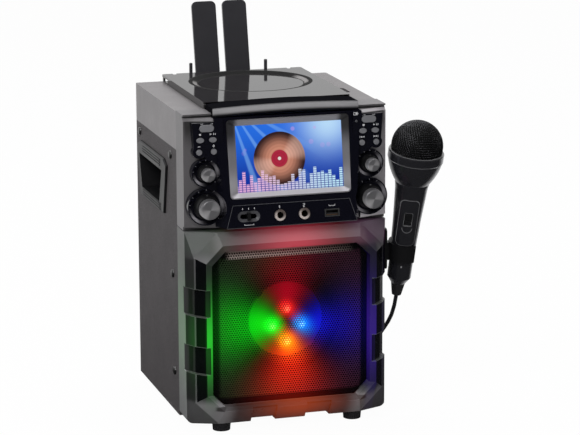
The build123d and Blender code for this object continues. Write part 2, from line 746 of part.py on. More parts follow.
with BuildPart() as side_guards:
    add(frame_shape.part)
    with BuildSketch(FRONT.offset(-GUARD_BACK)):
        guard_outline(-1)
        guard_outline(1)
    extrude(amount=20, mode=Mode.INTERSECT)
write(side_guards, "side_guards")

with BuildPart() as speaker_bezel:
    add(frame_shape.part)
    with BuildSketch(FRONT.offset(-GUARD_BACK)):
        guard_outline(-1)
        guard_outline(1)
    extrude(amount=20, mode=Mode.SUBTRACT)
    # room for the baffle behind, and the mouth through the front
    with BuildSketch(FRONT.offset(-SEAM_Y)):
        with Locations((0, BODY_MID_Z)):
            Rectangle(BODY_W - 2 * SKIN, BEZEL_TOP - FOOT_H - 2 * SKIN)
    extrude(amount=SEAM_Y + 96, mode=Mode.SUBTRACT)
    with BuildSketch(FRONT.offset(-SEAM_Y)):
        octagon(MOUTH_HALF, MOUTH_LOW, MOUTH_HIGH, MOUTH_LEG)
    extrude(amount=60, mode=Mode.SUBTRACT)
write(speaker_bezel, "speaker_bezel")

GRILLE_RIM_Y = -109.0
GRILLE_FLAT_Y = -113.6
GRILLE_SHEET = 1.0


def mouth(shrink):
    octagon(MOUTH_HALF - shrink, MOUTH_LOW + shrink, MOUTH_HIGH - shrink, MOUTH_LEG)


with BuildPart() as speaker_grille:
    with BuildSketch(FRONT.offset(-GRILLE_RIM_Y)):
        mouth(0.4)
    with BuildSketch(FRONT.offset(-GRILLE_FLAT_Y)):
        mouth(8.4)
    loft()
    with BuildSketch(FRONT.offset(-GRILLE_RIM_Y - GRILLE_SHEET)):
        mouth(1.4)
    with BuildSketch(FRONT.offset(-GRILLE_FLAT_Y - GRILLE_SHEET)):
        mouth(9.2)
    loft(mode=Mode.SUBTRACT)
    with BuildSketch(FRONT.offset(-GRILLE_RIM_Y)):
        mouth(0.4)
        mouth_hole = MOUTH_HALF - 1.4
        Polygon(
            (mouth_hole, MOUTH_LOW + 1.4 + MOUTH_LEG),
            (mouth_hole, MOUTH_HIGH - 1.4 - MOUTH_LEG),
            (mouth_hole - MOUTH_LEG, MOUTH_HIGH - 1.4),
            (MOUTH_LEG - mouth_hole, MOUTH_HIGH - 1.4),
            (-mouth_hole, MOUTH_HIGH - 1.4 - MOUTH_LEG),
            (-mouth_hole, MOUTH_LOW + 1.4 + MOUTH_LEG),
            (MOUTH_LEG - mouth_hole, MOUTH_LOW + 1.4),
            (mouth_hole - MOUTH_LEG, MOUTH_LOW + 1.4),
            align=None,
            mode=Mode.SUBTRACT,
        )
    extrude(amount=-12)
write(speaker_grille, "speaker_grille")

# ---------------------------------------------------------------- speaker and light unit
CONE_R = 60.0
FLANGE_R = 76.0
MAGNET_R = 40.0
MAGNET_FRONT = BAFFLE_Y + 45.5
COIL_R = 19.5
CENTRE = Axis((0, 0, SPEAKER_Z), (0, -1, 0))
TURNED = Plane(origin=(0, 0, SPEAKER_Z), x_dir=(1, 0, 0), z_dir=(0, 0, 1))  # local y is Y

with BuildPart() as speaker_baffle:
    with BuildSketch(FRONT.offset(-SEAM_Y)):
        with Locations((0, BODY_MID_Z)):
            Rectangle(BODY_W - 2 * SKIN - 0.6, BEZEL_TOP - FOOT_H - 2 * SKIN - 0.6)
        with Locations((0, SPEAKER_Z)):
            Circle(70.5, mode=Mode.SUBTRACT)
    extrude(amount=BOARD)
write(speaker_baffle, "speaker_baffle")

with BuildPart() as speaker_frame:
    with BuildSketch(TURNED):
        outline(
            (FLANGE_R, BAFFLE_Y),
            (FLANGE_R, BAFFLE_Y - 2.5),
            (67.5, BAFFLE_Y - 2.5),
            (66.5, BAFFLE_Y + 3),
            (36, BAFFLE_Y + 43),
            (36, BAFFLE_Y + 45.5),
            (41, BAFFLE_Y + 45.5),
            (69.8, BAFFLE_Y + 4),
            (69.8, BAFFLE_Y),
        )
    revolve(axis=CENTRE)
    with BuildSketch(FRONT.offset(-BAFFLE_Y - 4)):
        with Locations((0, SPEAKER_Z)):
            with PolarLocations(54, 6):
                RectangleRounded(17, 26, 4)
    extrude(amount=-38, mode=Mode.SUBTRACT)
write(speaker_frame, "speaker_frame")

with BuildPart() as speaker_magnet:
    with BuildSketch(TURNED):
        outline(
            (0, MAGNET_FRONT),
            (COIL_R - 2.8, MAGNET_FRONT),
            (COIL_R - 2.8, MAGNET_FRONT + 14),
            (COIL_R + 0.8, MAGNET_FRONT + 14),
            (COIL_R + 0.8, MAGNET_FRONT),
            (MAGNET_R, MAGNET_FRONT),
            (MAGNET_R, MAGNET_FRONT + 4),
            (MAGNET_R - 2, MAGNET_FRONT + 4),
            (MAGNET_R - 2, MAGNET_FRONT + 18.5),
            (MAGNET_R, MAGNET_FRONT + 18.5),
            (MAGNET_R, MAGNET_FRONT + 22.5),
            (0, MAGNET_FRONT + 22.5),
        )
    revolve(axis=CENTRE)
write(speaker_magnet, "speaker_magnet")

with BuildPart() as speaker_cone:
    with BuildSketch(TURNED):
        outline(
            (0, BAFFLE_Y + 10.5),
            (7, BAFFLE_Y + 11.6),
            (13, BAFFLE_Y + 15),
            (COIL_R - 2, BAFFLE_Y + 20.5),
            (CONE_R, BAFFLE_Y - 0.8),
            (CONE_R, BAFFLE_Y + 0.8),
            (COIL_R, BAFFLE_Y + 21.5),
            (COIL_R, MAGNET_FRONT + 6),
            (COIL_R - 2, MAGNET_FRONT + 6),
            (COIL_R - 2, BAFFLE_Y + 22.6),
            (12.2, BAFFLE_Y + 16.4),
            (6.6, BAFFLE_Y + 13.2),
            (0, BAFFLE_Y + 12.1),
        )
    revolve(axis=CENTRE)
write(speaker_cone, "speaker_cone")

with BuildPart() as speaker_surround:
    with BuildSketch(TURNED):
        with BuildLine():
            Line((CONE_R + 0.5, BAFFLE_Y - 2.5), (75, BAFFLE_Y - 2.5))
            Line((75, BAFFLE_Y - 2.5), (75, BAFFLE_Y - 3.9))
            Line((75, BAFFLE_Y - 3.9), (70, BAFFLE_Y - 3.9))
            ThreePointArc((70, BAFFLE_Y - 3.9), (65.2, BAFFLE_Y - 8), (CONE_R + 0.5, BAFFLE_Y - 3.9))
            Line((CONE_R + 0.5, BAFFLE_Y - 3.9), (CONE_R + 0.5, BAFFLE_Y - 2.5))
        make_face()
    revolve(axis=CENTRE)
write(speaker_surround, "speaker_surround")

LIGHT_Y = -97.0
LED_R = 5.0
LED_SPOTS = ((0, 118.7), (-15.3, 101.7), (15.3, 101.7), (0, 84.7))  # X and Z

with BuildPart() as light_unit:
    with BuildSketch(FRONT.offset(-LIGHT_Y - 1)):
        with Locations((0, SPEAKER_Z)):
            Circle(38)
    extrude(amount=-4)
    fillet(light_unit.edges().group_by(Axis.Y)[0], 1.2)
    # four arms that pass the cone and stand on the baffle
    with BuildSketch(FRONT.offset(-LIGHT_Y + 2)):
        with Locations((0, SPEAKER_Z)):
            with PolarLocations(59, 4, start_angle=45):
                Rectangle(48, 6)
    extrude(amount=-4)
    with BuildSketch(FRONT.offset(-BAFFLE_Y)):
        with Locations((0, SPEAKER_Z)):
            with PolarLocations(81, 4, start_angle=45):
                Rectangle(6, 10)
    extrude(amount=-LIGHT_Y + BAFFLE_Y + 2)
write(light_unit, "light_unit")

with BuildPart() as led_domes:
    with Locations(*[(x, LIGHT_Y - 1, z) for x, z in LED_SPOTS]):
        Sphere(LED_R)
    with BuildSketch(FRONT.offset(-LIGHT_Y + 1)):
        with Locations((0, SPEAKER_Z)):
            Circle(40)
    extrude(amount=20, mode=Mode.INTERSECT)
write(led_domes, "led_domes")

# ---------------------------------------------------------------- disc drive in the well
DECK_TOP = WELL_FLOOR + 2.5
LENS_Y = DISC[1] - 24  # lens at the inner end of its travel
RAIL_X = 14.0  # each rail, to the side of the disc centre
RAIL_Z = 292.0
RAIL_R = 1.5
RAIL_FRONT, RAIL_REAR = -24.2, 23.0
MOTOR_TOP = 295.0

with BuildPart() as disc_deck:
    with BuildSketch(Plane.XY.offset(WELL_FLOOR)):
        with Locations(DISC):
            Circle(WELL_R - 0.5)
            Circle(9, mode=Mode.SUBTRACT)
        with Locations((DISC[0], LENS_Y - SLED_TRAVEL / 2)):
            Rectangle(10, SLED_TRAVEL + 7.6, mode=Mode.SUBTRACT)
    extrude(amount=2.5)
    with BuildSketch(Plane.XY.offset(DECK_TOP)):
        with Locations(DISC):
            Circle(24)
            Circle(22, mode=Mode.SUBTRACT)
        with Locations((DISC[0], DISC[1] - 24)):
            Rectangle(12, 12, mode=Mode.SUBTRACT)
    extrude(amount=0.8)
    with BuildSketch(Plane.XY.offset(RAIL_Z - 3)):
        for x in (DISC[0] - RAIL_X, DISC[0] + RAIL_X):
            for y in (RAIL_FRONT + 1.2, RAIL_REAR - 1.2):
                with Locations((x, y)):
                    Rectangle(5, 2.4)
    extrude(amount=WELL_FLOOR - RAIL_Z + 3)
    with BuildSketch(FRONT.offset(-RAIL_REAR)):
        for x in (DISC[0] - RAIL_X, DISC[0] + RAIL_X):
            with Locations((x, RAIL_Z)):
                Circle(RAIL_R)
    extrude(amount=RAIL_REAR - RAIL_FRONT)
write(disc_deck, "disc_deck")

with BuildPart() as laser_sled:
    with BuildSketch(Plane.XY.offset(RAIL_Z - 3.5)):
        with Locations((DISC[0], LENS_Y + 3)):
            Rectangle(22, 14)
        with Locations((DISC[0], LENS_Y + 5.5)):
            Rectangle(2 * RAIL_X + 6, 9)
    extrude(amount=7)
    with BuildSketch(FRONT.offset(-LENS_Y - 20)):
        for x in (DISC[0] - RAIL_X, DISC[0] + RAIL_X):
            with Locations((x, RAIL_Z)):
                Circle(RAIL_R + 0.05)
    extrude(amount=40, mode=Mode.SUBTRACT)
    with BuildSketch(Plane.XY.offset(RAIL_Z + 3.5)):
        with Locations((DISC[0], LENS_Y)):
            RectangleRounded(8, 6.4, 1.5)
    extrude(amount=3.4)
    with Locations((DISC[0], LENS_Y, RAIL_Z + 6.5)):
        Sphere(2)
write(laser_sled, "laser_sled")

HUB = Plane(origin=(DISC[0], DISC[1], 0), x_dir=(1, 0, 0), z_dir=(0, -1, 0))  # local y is Z
HUB_AXIS = Axis((DISC[0], DISC[1], 0), (0, 0, 1))

with BuildPart() as disc_spindle:
    with BuildSketch(HUB):
        outline(
            (0, 290),
            (1.5, 290),
            (1.5, 296.2),
            (4, 296.2),
            (4, 300.5),
            (12.5, 300.5),
            (12.5, 302),
            (7.4, 302),
            (7.4, 304.6),
            (6.2, 306),
            (0, 306.6),
        )
    revolve(axis=HUB_AXIS)
write(disc_spindle, "disc_spindle")

with BuildPart() as spindle_motor:
    with BuildSketch(HUB):
        outline((1.6, 283), (12, 283), (12, 294), (11, MOTOR_TOP), (1.6, MOTOR_TOP))
    revolve(axis=HUB_AXIS)
    with BuildSketch(Plane.XY.offset(283)):
        with Locations(DISC):
            Circle(4)
    extrude(amount=2)
    with BuildSketch(Plane.XY.offset(MOTOR_TOP)):
        with Locations(DISC):
            with PolarLocations(10.3, 3, start_angle=90):
                Circle(1.2)
    extrude(amount=WELL_FLOOR - MOTOR_TOP)
    with BuildSketch(Plane.XY.offset(MOTOR_TOP - 2)):
        with Locations(DISC):
            with PolarLocations(10.3, 3, start_angle=90):
                Circle(1.2)
    extrude(amount=2)
write(spindle_motor, "spindle_motor")

# ---------------------------------------------------------------- tablet stand behind the lid
ARM_IN, ARM_OUT = 35.5, 46.0  # side arms of the bracket, from the middle of the stand
PEG_X = 40.6
PEG_Y = 104.5
PEG_R = 1.75
PLATE_BACK = 10.3  # front face of the prongs behind the pin
PRONG_T = 3.2
PIN_R = 2.4

with BuildPart() as tablet_bracket:
    with BuildSketch(FRONT.offset(-REAR_Y)):
        with Locations((STAND_X, (288 + DECK_Z) / 2)):
            RectangleRounded(2 * ARM_OUT, DECK_Z - 288, 2)
    extrude(amount=-3)
    for x in (STAND_X - (ARM_IN + ARM_OUT) / 2, STAND_X + (ARM_IN + ARM_OUT) / 2):
        with BuildSketch(SIDE.offset(x)):
            outline(
                (REAR_Y, 292),
                (REAR_Y, DECK_Z),
                (PEG_Y + 3, DECK_Z),
                (STAND_AXIS[0] - 3, STAND_AXIS[1] + 4),
                (STAND_AXIS[0] + 4, STAND_AXIS[1] - 3),
                (REAR_Y + 3, 292),
            )
            with Locations(STAND_AXIS):
                Circle(5)
                Circle(PIN_R + 0.05, mode=Mode.SUBTRACT)
        extrude(amount=(ARM_OUT - ARM_IN) / 2, both=True)
    with BuildSketch(Plane.XY.offset(DECK_Z)):
        for x in (STAND_X - PEG_X, STAND_X + PEG_X):
            with Locations((x, PEG_Y)):
                Circle(PEG_R + 0.02)
    extrude(amount=-5, mode=Mode.SUBTRACT)
write(tablet_bracket, "tablet_bracket")

with BuildPart() as tablet_pegs:
    with BuildSketch(Plane.XY.offset(DECK_Z - 5)):
        for x in (STAND_X - PEG_X, STAND_X + PEG_X):
            with Locations((x, PEG_Y)):
                Circle(PEG_R)
    extrude(amount=22)
    fillet(tablet_pegs.edges().group_by(Axis.Z)[-1], 1.0)
write(tablet_pegs, "tablet_pegs")

REST_PLANE = Plane(
    origin=(STAND_X, STAND_AXIS[0], STAND_AXIS[1]),
    x_dir=(1, 0, 0),
    z_dir=(0, -cos(radians(STAND_LEAN)), sin(radians(STAND_LEAN))),
)
REST_LENGTH = (PRONG_TOP - STAND_AXIS[1]) / cos(radians(STAND_LEAN)) + 2

with BuildPart() as tablet_backrest:
    with BuildSketch(REST_PLANE.offset(-PLATE_BACK)):
        for side in (-1, 1):
            with Locations((side * (PRONG_GAP + PRONG_W) / 2, REST_LENGTH / 2 - PIN_R / 2)):
                RectangleRounded(PRONG_W, REST_LENGTH + PIN_R, 5.5)
        with Locations((0, 1)):
            Rectangle(PRONG_GAP + 2 * PRONG_W, 2 * PIN_R + 2)
    extrude(amount=-PRONG_T)
    # foot that reaches forwards to the pin
    with BuildSketch(REST_PLANE):
        Rectangle(PRONG_GAP + 2 * PRONG_W, 2 * PIN_R)
    extrude(amount=-PLATE_BACK - 0.1)
    with BuildSketch(SIDE.offset(STAND_X)):
        with Locations(STAND_AXIS):
            Circle(PIN_R)
    extrude(amount=ARM_OUT - 1, both=True)
write(tablet_backrest, "tablet_backrest")

# ---------------------------------------------------------------- microphone
BOOT_T = 14.0
CUP_T = 125.0
COLLAR_T = 149.0
BALL_T = 163.0
BALL_R = 26.0
HOLD_T = 50.2
GRIP = ((7.1, BOOT_T), (11.95, 21), (12.15, 43), (12.6, 51), (14.0, 83), (16.3, 118), (17.2, CUP_T))


def grip_body(grow, low=BOOT_T, high=CUP_T):
    """Solid of the microphone grip between two heights, grown by some amount."""
    rim = [(r + grow, t) for r, t in GRIP]
    with BuildPart() as body:
        with BuildSketch(MIC_SECTION):
            outline((0, BOOT_T), *rim, (0, CUP_T))
            with Locations((0, (low + high) / 2)):
                Rectangle(80, high - low, mode=Mode.INTERSECT)
        revolve(axis=MIC_LINE)
    return body.part


PLATE_T = (60.0, 110.0)
SWITCH_T = 91.5
SWITCH_TRAVEL = 5.0
FACE_WAY = (Vector(-0.27, -0.963, 0) - MIC_AXIS * Vector(-0.27, -0.963, 0).dot(MIC_AXIS)).normalized()


def mic_face(t, out=0.0):
    """Plane across the switch side of the grip at height t; local y runs up the grip."""
    across = MIC_AXIS.cross(FACE_WAY)
    return Plane(origin=MIC_END + MIC_AXIS * t + FACE_WAY * out, x_dir=across, z_dir=FACE_WAY)


with BuildPart() as switch_plate:
    add(grip_body(0.7))
    with BuildSketch(mic_face((PLATE_T[0] + PLATE_T[1]) / 2)):
        RectangleRounded(19, PLATE_T[1] - PLATE_T[0], 5)
    extrude(amount=40, mode=Mode.INTERSECT)

with BuildPart() as mic_handle:
    add(grip_body(0))
    with BuildSketch(MIC_SECTION):
        with BuildLine():
            Polyline((0, CUP_T - 2), (17.2, CUP_T - 2), (17.2, CUP_T))
            ThreePointArc((17.2, CUP_T), (23.6, 136.5), (27.3, COLLAR_T))
            Polyline((27.3, COLLAR_T), (0, COLLAR_T), (0, CUP_T - 2))
        make_face()
    revolve(axis=MIC_LINE)
    add(switch_plate.part)
    # hollow for the wiring and the capsule
    with BuildSketch(MIC_SECTION):
        outline((0, 22), (9, 22), (9, 100), (13, CUP_T), (24.2, COLLAR_T), (24.2, 152), (0, 152))
    revolve(axis=MIC_LINE, mode=Mode.SUBTRACT)
    with BuildSketch(mic_face(SWITCH_T - SWITCH_TRAVEL / 2, 40)):
        Rectangle(7.8, 7.7 + SWITCH_TRAVEL + 1.4)
    extrude(amount=-28, mode=Mode.SUBTRACT)
write(mic_handle, "mic_handle")

with BuildPart() as mic_switch:
    with BuildSketch(mic_face(SWITCH_T, 12.3)):
        Rectangle(7.0, 7.7)
    extrude(amount=4.4)
    fillet(mic_switch.faces().sort_by(Axis.Y)[0].edges(), 0.6)
write(mic_switch, "mic_switch")

with BuildPart() as mic_collar:
    with BuildSketch(MIC_SECTION):
        outline(
            (0, COLLAR_T),
            (27.3, COLLAR_T),
            (27.9, COLLAR_T + 0.8),
            (27.9, COLLAR_T + 8.2),
            (27.1, COLLAR_T + 9),
            (23.6, COLLAR_T + 9),
            (23.6, COLLAR_T + 3),
            (11, COLLAR_T + 3),
            (11, COLLAR_T + 11),
            (9.5, COLLAR_T + 12.5),
            (0, COLLAR_T + 12.5),
        )
    revolve(axis=MIC_LINE)
write(mic_collar, "mic_collar")

with BuildPart() as mic_grille:
    with Locations(Plane(MIC_END + MIC_AXIS * BALL_T, z_dir=MIC_AXIS)):
        Sphere(BALL_R)
        Sphere(BALL_R - 1.6, mode=Mode.SUBTRACT)
    with BuildSketch(Plane(MIC_END + MIC_AXIS * (COLLAR_T + 9), z_dir=MIC_AXIS)):
        Circle(40)
    extrude(amount=-40, mode=Mode.SUBTRACT)
write(mic_grille, "mic_grille")

with BuildPart() as mic_boot:
    with BuildSketch(MIC_SECTION):
        outline((0, 0), (4.0, 0), (4.6, 0.9), (5.2, 5.0), (6.2, 10.0), (7.1, BOOT_T), (0, BOOT_T))
    revolve(axis=MIC_LINE)
write(mic_boot, "mic_boot")

HOLDER_TALL = 18.0
RING_MID = MIC_END + MIC_AXIS * HOLD_T
RING_PLANE = Plane(RING_MID, x_dir=(1, 0, 0), z_dir=MIC_AXIS)

with BuildPart() as mic_holder:
    with BuildSketch(Plane.XY.offset(150)):
        with Locations((HALF_W + 1.4, -88)):
            Rectangle(2.8, 18)
    extrude(amount=42)
    fillet(mic_holder.edges().filter_by(Axis.X), 4)
    with BuildSketch(Plane.XY.offset(159)):
        with Locations(((HALF_W + RING_MID.X - 12) / 2 + 1, -89)):
            Rectangle(RING_MID.X - 12 - HALF_W, 11)
    extrude(amount=18)
    with BuildSketch(RING_PLANE.offset(-HOLDER_TALL / 2)):
        Circle(15.4)
        # mouth of the clip, towards the outer side
        Polygon((0, 0), (26, -36), (40, -36), (40, 40), (-6, 40), align=None, mode=Mode.SUBTRACT)
    extrude(amount=HOLDER_TALL)
    add(grip_body(0.3), mode=Mode.SUBTRACT)
write(mic_holder, "mic_holder")

# ---------------------------------------------------------------- microphone cord, coil and plug
COIL_AT = (50.0, 141.0)
COIL_MEAN = 23.0
COIL_HALF_W, COIL_HALF_H = 12.0, 7.0
LEAD_IN, LEAD_OUT = 30.0, 32.0  # ends of the straight leads, from the middle of the coil
cord_start = MIC_END - MIC_AXIS * 20
CORD_POINTS = [
    (MIC_END.X, MIC_END.Y, MIC_END.Z),
    (cord_start.X, cord_start.Y, cord_start.Z),
    (113.5, -62.0, 77.0),
    (111.0, -26.0, 50.0),
    (110.5, 20.0, 29.0),
    (110.5, 64.0, 14.0),
    (110.5, 101.0, 8.0),
    (99.0, COIL_AT[1] - COIL_MEAN, COIL_HALF_H),
    (COIL_AT[0] + LEAD_IN, COIL_AT[1] - COIL_MEAN, COIL_HALF_H),
]
cord_radii = []
for before, here, after in zip(CORD_POINTS, CORD_POINTS[1:], CORD_POINTS[2:]):
    run_in = Vector(*here) - Vector(*before)
    run_out = Vector(*after) - Vector(*here)
    turn = radians(run_in.get_angle(run_out))
    cord_radii.append(0.45 * min(run_in.length, run_out.length) / tan(turn / 2))
print("cord radii", [round(r, 1) for r in cord_radii])

with BuildPart() as mic_cord:
    with BuildLine() as cord_line:
        FilletPolyline(*CORD_POINTS, radius=cord_radii)
    with BuildSketch(Plane(origin=MIC_END, z_dir=-MIC_AXIS)):
        Circle(CORD_D / 2)
    sweep(path=cord_line.line)
cord_length = sum(edge.length for edge in cord_line.edges())
print("cord length", round(cord_length, 1), "tube", round(mic_cord.part.volume / (pi * CORD_D**2 / 4), 1))
write(mic_cord, "mic_cord")

with BuildPart() as mic_cord_coil:
    with BuildSketch(Plane(origin=(*COIL_AT, 0), x_dir=(1, 0, 0), z_dir=(0, -1, 0))):
        with Locations((COIL_MEAN, COIL_HALF_H)):
            RectangleRounded(2 * COIL_HALF_W, 2 * COIL_HALF_H, COIL_HALF_H - 0.5)
    revolve(axis=Axis((*COIL_AT, 0), (0, 0, 1)))
    # lead-in from the microphone and lead-out to the plug, tangent to the turns
    with BuildSketch(SIDE.offset(COIL_AT[0] - LEAD_OUT)):
        with Locations((COIL_AT[1] - COIL_MEAN, COIL_HALF_H)):
            Circle(CORD_D / 2)
    extrude(amount=LEAD_OUT + LEAD_IN)
write(mic_cord_coil, "mic_cord_coil")

PLUG = Plane(
    origin=(COIL_AT[0] - LEAD_OUT, COIL_AT[1] - COIL_MEAN, COIL_HALF_H), x_dir=(0, 1, 0), z_dir=(0, 0, 1)
)  # local y runs towards -X

with BuildPart() as mic_plug:
    with BuildSketch(PLUG):
        outline(
            (0, 0),
            (3.2, 0),
            (4.4, 12),
            (7.0, 12.5),
            (7.0, 37),
            (6.2, 38),
            (3.175, 38),
            (3.175, 60.5),
            (2.6, 61.5),
            (3.0, 64.5),
            (1.2, 69.5),
            (0, 70),
        )
    revolve(axis=Axis(PLUG.origin, (-1, 0, 0)))
write(mic_plug, "mic_plug")

# ---------------------------------------------------------------- feet, screws, rear plate, inside parts
FEET = ((-68.3, -100), (68.3, -100), (-67.5, 80), (67.5, 80))

with BuildPart() as feet:
    with BuildSketch(Plane.XY.offset(FOOT_H)):
        with Locations(*FEET):
            Circle(9.5)
    extrude(amount=-FOOT_H, taper=5)
write(feet, "feet")

with BuildPart() as cabinet_screws:
    for side in (-1, 1):
        for y, z in SCREWS:
            with BuildSketch(Plane(origin=(side * HALF_W, y, z), x_dir=(0, 1, 0), z_dir=(0, 0, -side))):
                outline((0, 0), (4.4, 0), (4.1, 1.1), (3.0, 1.9), (1.2, 2.2), (0, 2.2))
            revolve(axis=Axis((side * HALF_W, y, z), (1, 0, 0)))
            with BuildSketch(SIDE.offset(side * HALF_W)):
                with Locations((y, z)):
                    Circle(SCREW_R)
            extrude(amount=-side * 8)
write(cabinet_screws, "cabinet_screws")

BACK = Plane(origin=(0, REAR_Y, 0), x_dir=(-1, 0, 0), z_dir=(0, 1, 0))  # seen from the rear
PANEL_MID = (PANEL_LOW + PANEL_HIGH) / 2
ROCKER = (-22.0, PANEL_MID)  # X and Z
ROCKER_TILT = 8.0  # degrees to each side of level
RCA = ((10.0, 112.0), (24.0, 112.0))
AUX = (17.0, 97.0)
INLET = (14.0, 81.0)

with BuildPart() as rear_panel:
    with BuildSketch(BACK) as plate_outline:
        with Locations((0, PANEL_MID)):
            RectangleRounded(2 * PANEL_HALF, PANEL_HIGH - PANEL_LOW, 4)
    extrude(amount=2)
    chamfer(rear_panel.faces().sort_by(Axis.Y)[-1].edges(), 0.8)
    with BuildSketch(BACK):
        with Locations((0, PANEL_MID)):
            Rectangle(2 * PANEL_HALF - 8.6, PANEL_HIGH - PANEL_LOW - 8.6)
            Rectangle(2 * PANEL_HALF - 13, PANEL_HIGH - PANEL_LOW - 13, mode=Mode.SUBTRACT)
    extrude(amount=-7)
    with BuildSketch(BACK.offset(2)):
        with Locations(*[(-x, z) for x, z in RCA]):
            Circle(4.2)
        with Locations((-AUX[0], AUX[1])):
            Circle(4.0)
    extrude(amount=5)
    with BuildSketch(BACK.offset(2)):
        with Locations((-INLET[0], INLET[1])):
            RectangleRounded(24, 14, 3)
    extrude(amount=1)
    with BuildSketch(BACK.offset(-7)):
        with Locations((-INLET[0], INLET[1])):
            Rectangle(22, 12)
    extrude(amount=7)
    with BuildSketch(BACK.offset(10)):
        with Locations(*[(-x, z) for x, z in RCA]):
            Circle(1.6)
        with Locations((-AUX[0], AUX[1])):
            Circle(1.8)
        with Locations((-ROCKER[0], ROCKER[1])):
            Rectangle(13, 20)
    extrude(amount=-16, mode=Mode.SUBTRACT)
    with BuildSketch(BACK.offset(4)):
        with Locations((-INLET[0], INLET[1])):
            SlotOverall(16, 8.4)
    extrude(amount=-9.5, mode=Mode.SUBTRACT)
    with BuildSketch(BACK.offset(-5.5)):
        for x in (-INLET[0] - 3, -INLET[0] + 3):
            with Locations((x, INLET[1])):
                Circle(1.2)
    extrude(amount=6)
    # rocker frame
    with BuildSketch(BACK.offset(-7)):
        with Locations((-ROCKER[0], ROCKER[1])):
            Rectangle(15, 22)
            Rectangle(13, 20, mode=Mode.SUBTRACT)
    extrude(amount=9)
write(rear_panel, "rear_panel")

with BuildPart() as power_switch:
    with BuildSketch(SIDE.offset(ROCKER[0])):
        with Locations((REAR_Y - 1, ROCKER[1])):
            with Locations(Rotation(0, 0, -ROCKER_TILT)):
                outline((-4, -6), (-4, 6), (3.4, 9.0), (1.6, 0), (3.4, -9.0))
    extrude(amount=6, both=True)
write(power_switch, "power_switch")

with BuildPart() as battery_pack:
    with BuildSketch(Plane.XY.offset(FOOT_H + BOARD)):
        with Locations((0, 20)):
            RectangleRounded(110, 66, 3)
    extrude(amount=32)
    fillet(battery_pack.faces().sort_by(Axis.Z)[-1].edges(), 2)
write(battery_pack, "battery_pack")

with BuildPart() as main_board:
    with BuildSketch(FRONT.offset(84)):
        with Locations((0, 262)):
            Rectangle(132, 88)
    extrude(amount=1.6)
    # stand-offs to the back of the fascia, and taller parts on the rear
    with BuildSketch(FRONT.offset(85.6)):
        with Locations((-63.5, 222), (63.5, 222), (-63.5, 302), (63.5, 302)):
            Circle(2.2)
    extrude(amount=96.5 - 85.6)
    with BuildSketch(FRONT.offset(84)):
        with Locations((-20, 270), (30, 285)):
            Rectangle(16, 16)
        with Locations((28, 240)):
            Rectangle(30, 12)
        with Locations((-45, 240), (-45, 252)):
            Circle(4)
    extrude(amount=-6)
write(main_board, "main_board")
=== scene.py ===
"""Karaoke machine with disc compartment, tablet stand and microphone: finishes and fine detail.

Metres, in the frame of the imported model: X to the right seen from the front, Y to the rear, Z up.
"""

from functools import reduce
from math import atan2, cos, e, hypot, pi, radians, sin, sqrt, tan

import bmesh
import bpy
from mathutils import Matrix, Vector


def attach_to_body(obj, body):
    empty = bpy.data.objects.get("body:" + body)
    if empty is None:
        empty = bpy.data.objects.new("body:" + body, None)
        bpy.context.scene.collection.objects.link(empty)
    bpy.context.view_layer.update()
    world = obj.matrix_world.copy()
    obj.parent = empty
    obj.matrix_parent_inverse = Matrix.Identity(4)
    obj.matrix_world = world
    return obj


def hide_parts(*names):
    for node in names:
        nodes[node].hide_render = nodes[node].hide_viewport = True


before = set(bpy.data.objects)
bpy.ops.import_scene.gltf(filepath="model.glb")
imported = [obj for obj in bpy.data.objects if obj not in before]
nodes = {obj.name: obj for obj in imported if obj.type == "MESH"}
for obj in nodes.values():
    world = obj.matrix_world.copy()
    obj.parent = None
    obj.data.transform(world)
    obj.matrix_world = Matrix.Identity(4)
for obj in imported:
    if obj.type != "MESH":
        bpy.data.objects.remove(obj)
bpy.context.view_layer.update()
scene = bpy.context.scene

MM = 0.001
FORWARD = Vector((0, -1, 0))
RIGHT = Vector((1, 0, 0))
UP = Vector((0, 0, 1))

# places shared with the construction, in millimetres
PLATEAU_Y = -108.5
LEAN = radians(9.2)
PANEL_AT = Vector((0, -111.3, 275))
PANEL_UP = Vector((0, sin(LEAN), cos(LEAN)))
PANEL_OUT = Vector((0, -cos(LEAN), sin(LEAN)))
SPEAKER_Z = 107
NOTCHES = ((62.3, 90), (120.7, 148))
GRILLE_MID = 106.4
DISC = (2, 34)
JACK_AT = (12.4, 219.2)
BIG_KNOB = (83.5, 229.5)
SMALL_KNOB = (83.7, 263)
MIC_AXIS = Vector((0.0602, -0.2, 0.978)).normalized()
MIC_END = Vector((121.4, -81.5, 119))

# strength of the daylight and of what reflections show of the room
DAYLIGHT = 0.336
ROOM_FRONT, ROOM_BEHIND, ROOM_RIGHT, ROOM_LEFT, ROOM_ABOVE = 0.032, 0.72, 0.2, 0.16, 0.2
FLOOR_FRONT, FLOOR_BEHIND = 0.06, 0.85
LID_SHINE = 0.5

# camera: place in metres, lens and sensor in millimetres, turns in degrees
CAMERA_AT = Vector((-715.5, -2516.4, 787.3)) * MM
CAMERA_LENS, CAMERA_SENSOR, CAMERA_FAR = 162.62, 36, 20
CAMERA_TURNS = (("Z", -16.577), ("X", 90 - 12.871), ("Z", -0.208))


# ---- node helpers
def operator(operation, swapped=False):
    """A method of a field that adds one math node."""
    def apply(self, other):
        return math_of(operation, other, self) if swapped else math_of(operation, self, other)

    return apply


class Field:
    """What a node puts out; arithmetic and comparisons with it add math nodes to its tree."""

    def __init__(self, socket):
        self.socket, self.tree = socket, socket.id_data

    def __abs__(self):
        return math_of("ABSOLUTE", self)

    __add__ = __radd__ = operator("ADD")
    __mul__ = __rmul__ = operator("MULTIPLY")
    __sub__, __rsub__ = operator("SUBTRACT"), operator("SUBTRACT", swapped=True)
    __truediv__ = operator("DIVIDE")
    __gt__, __lt__ = operator("GREATER_THAN"), operator("LESS_THAN")


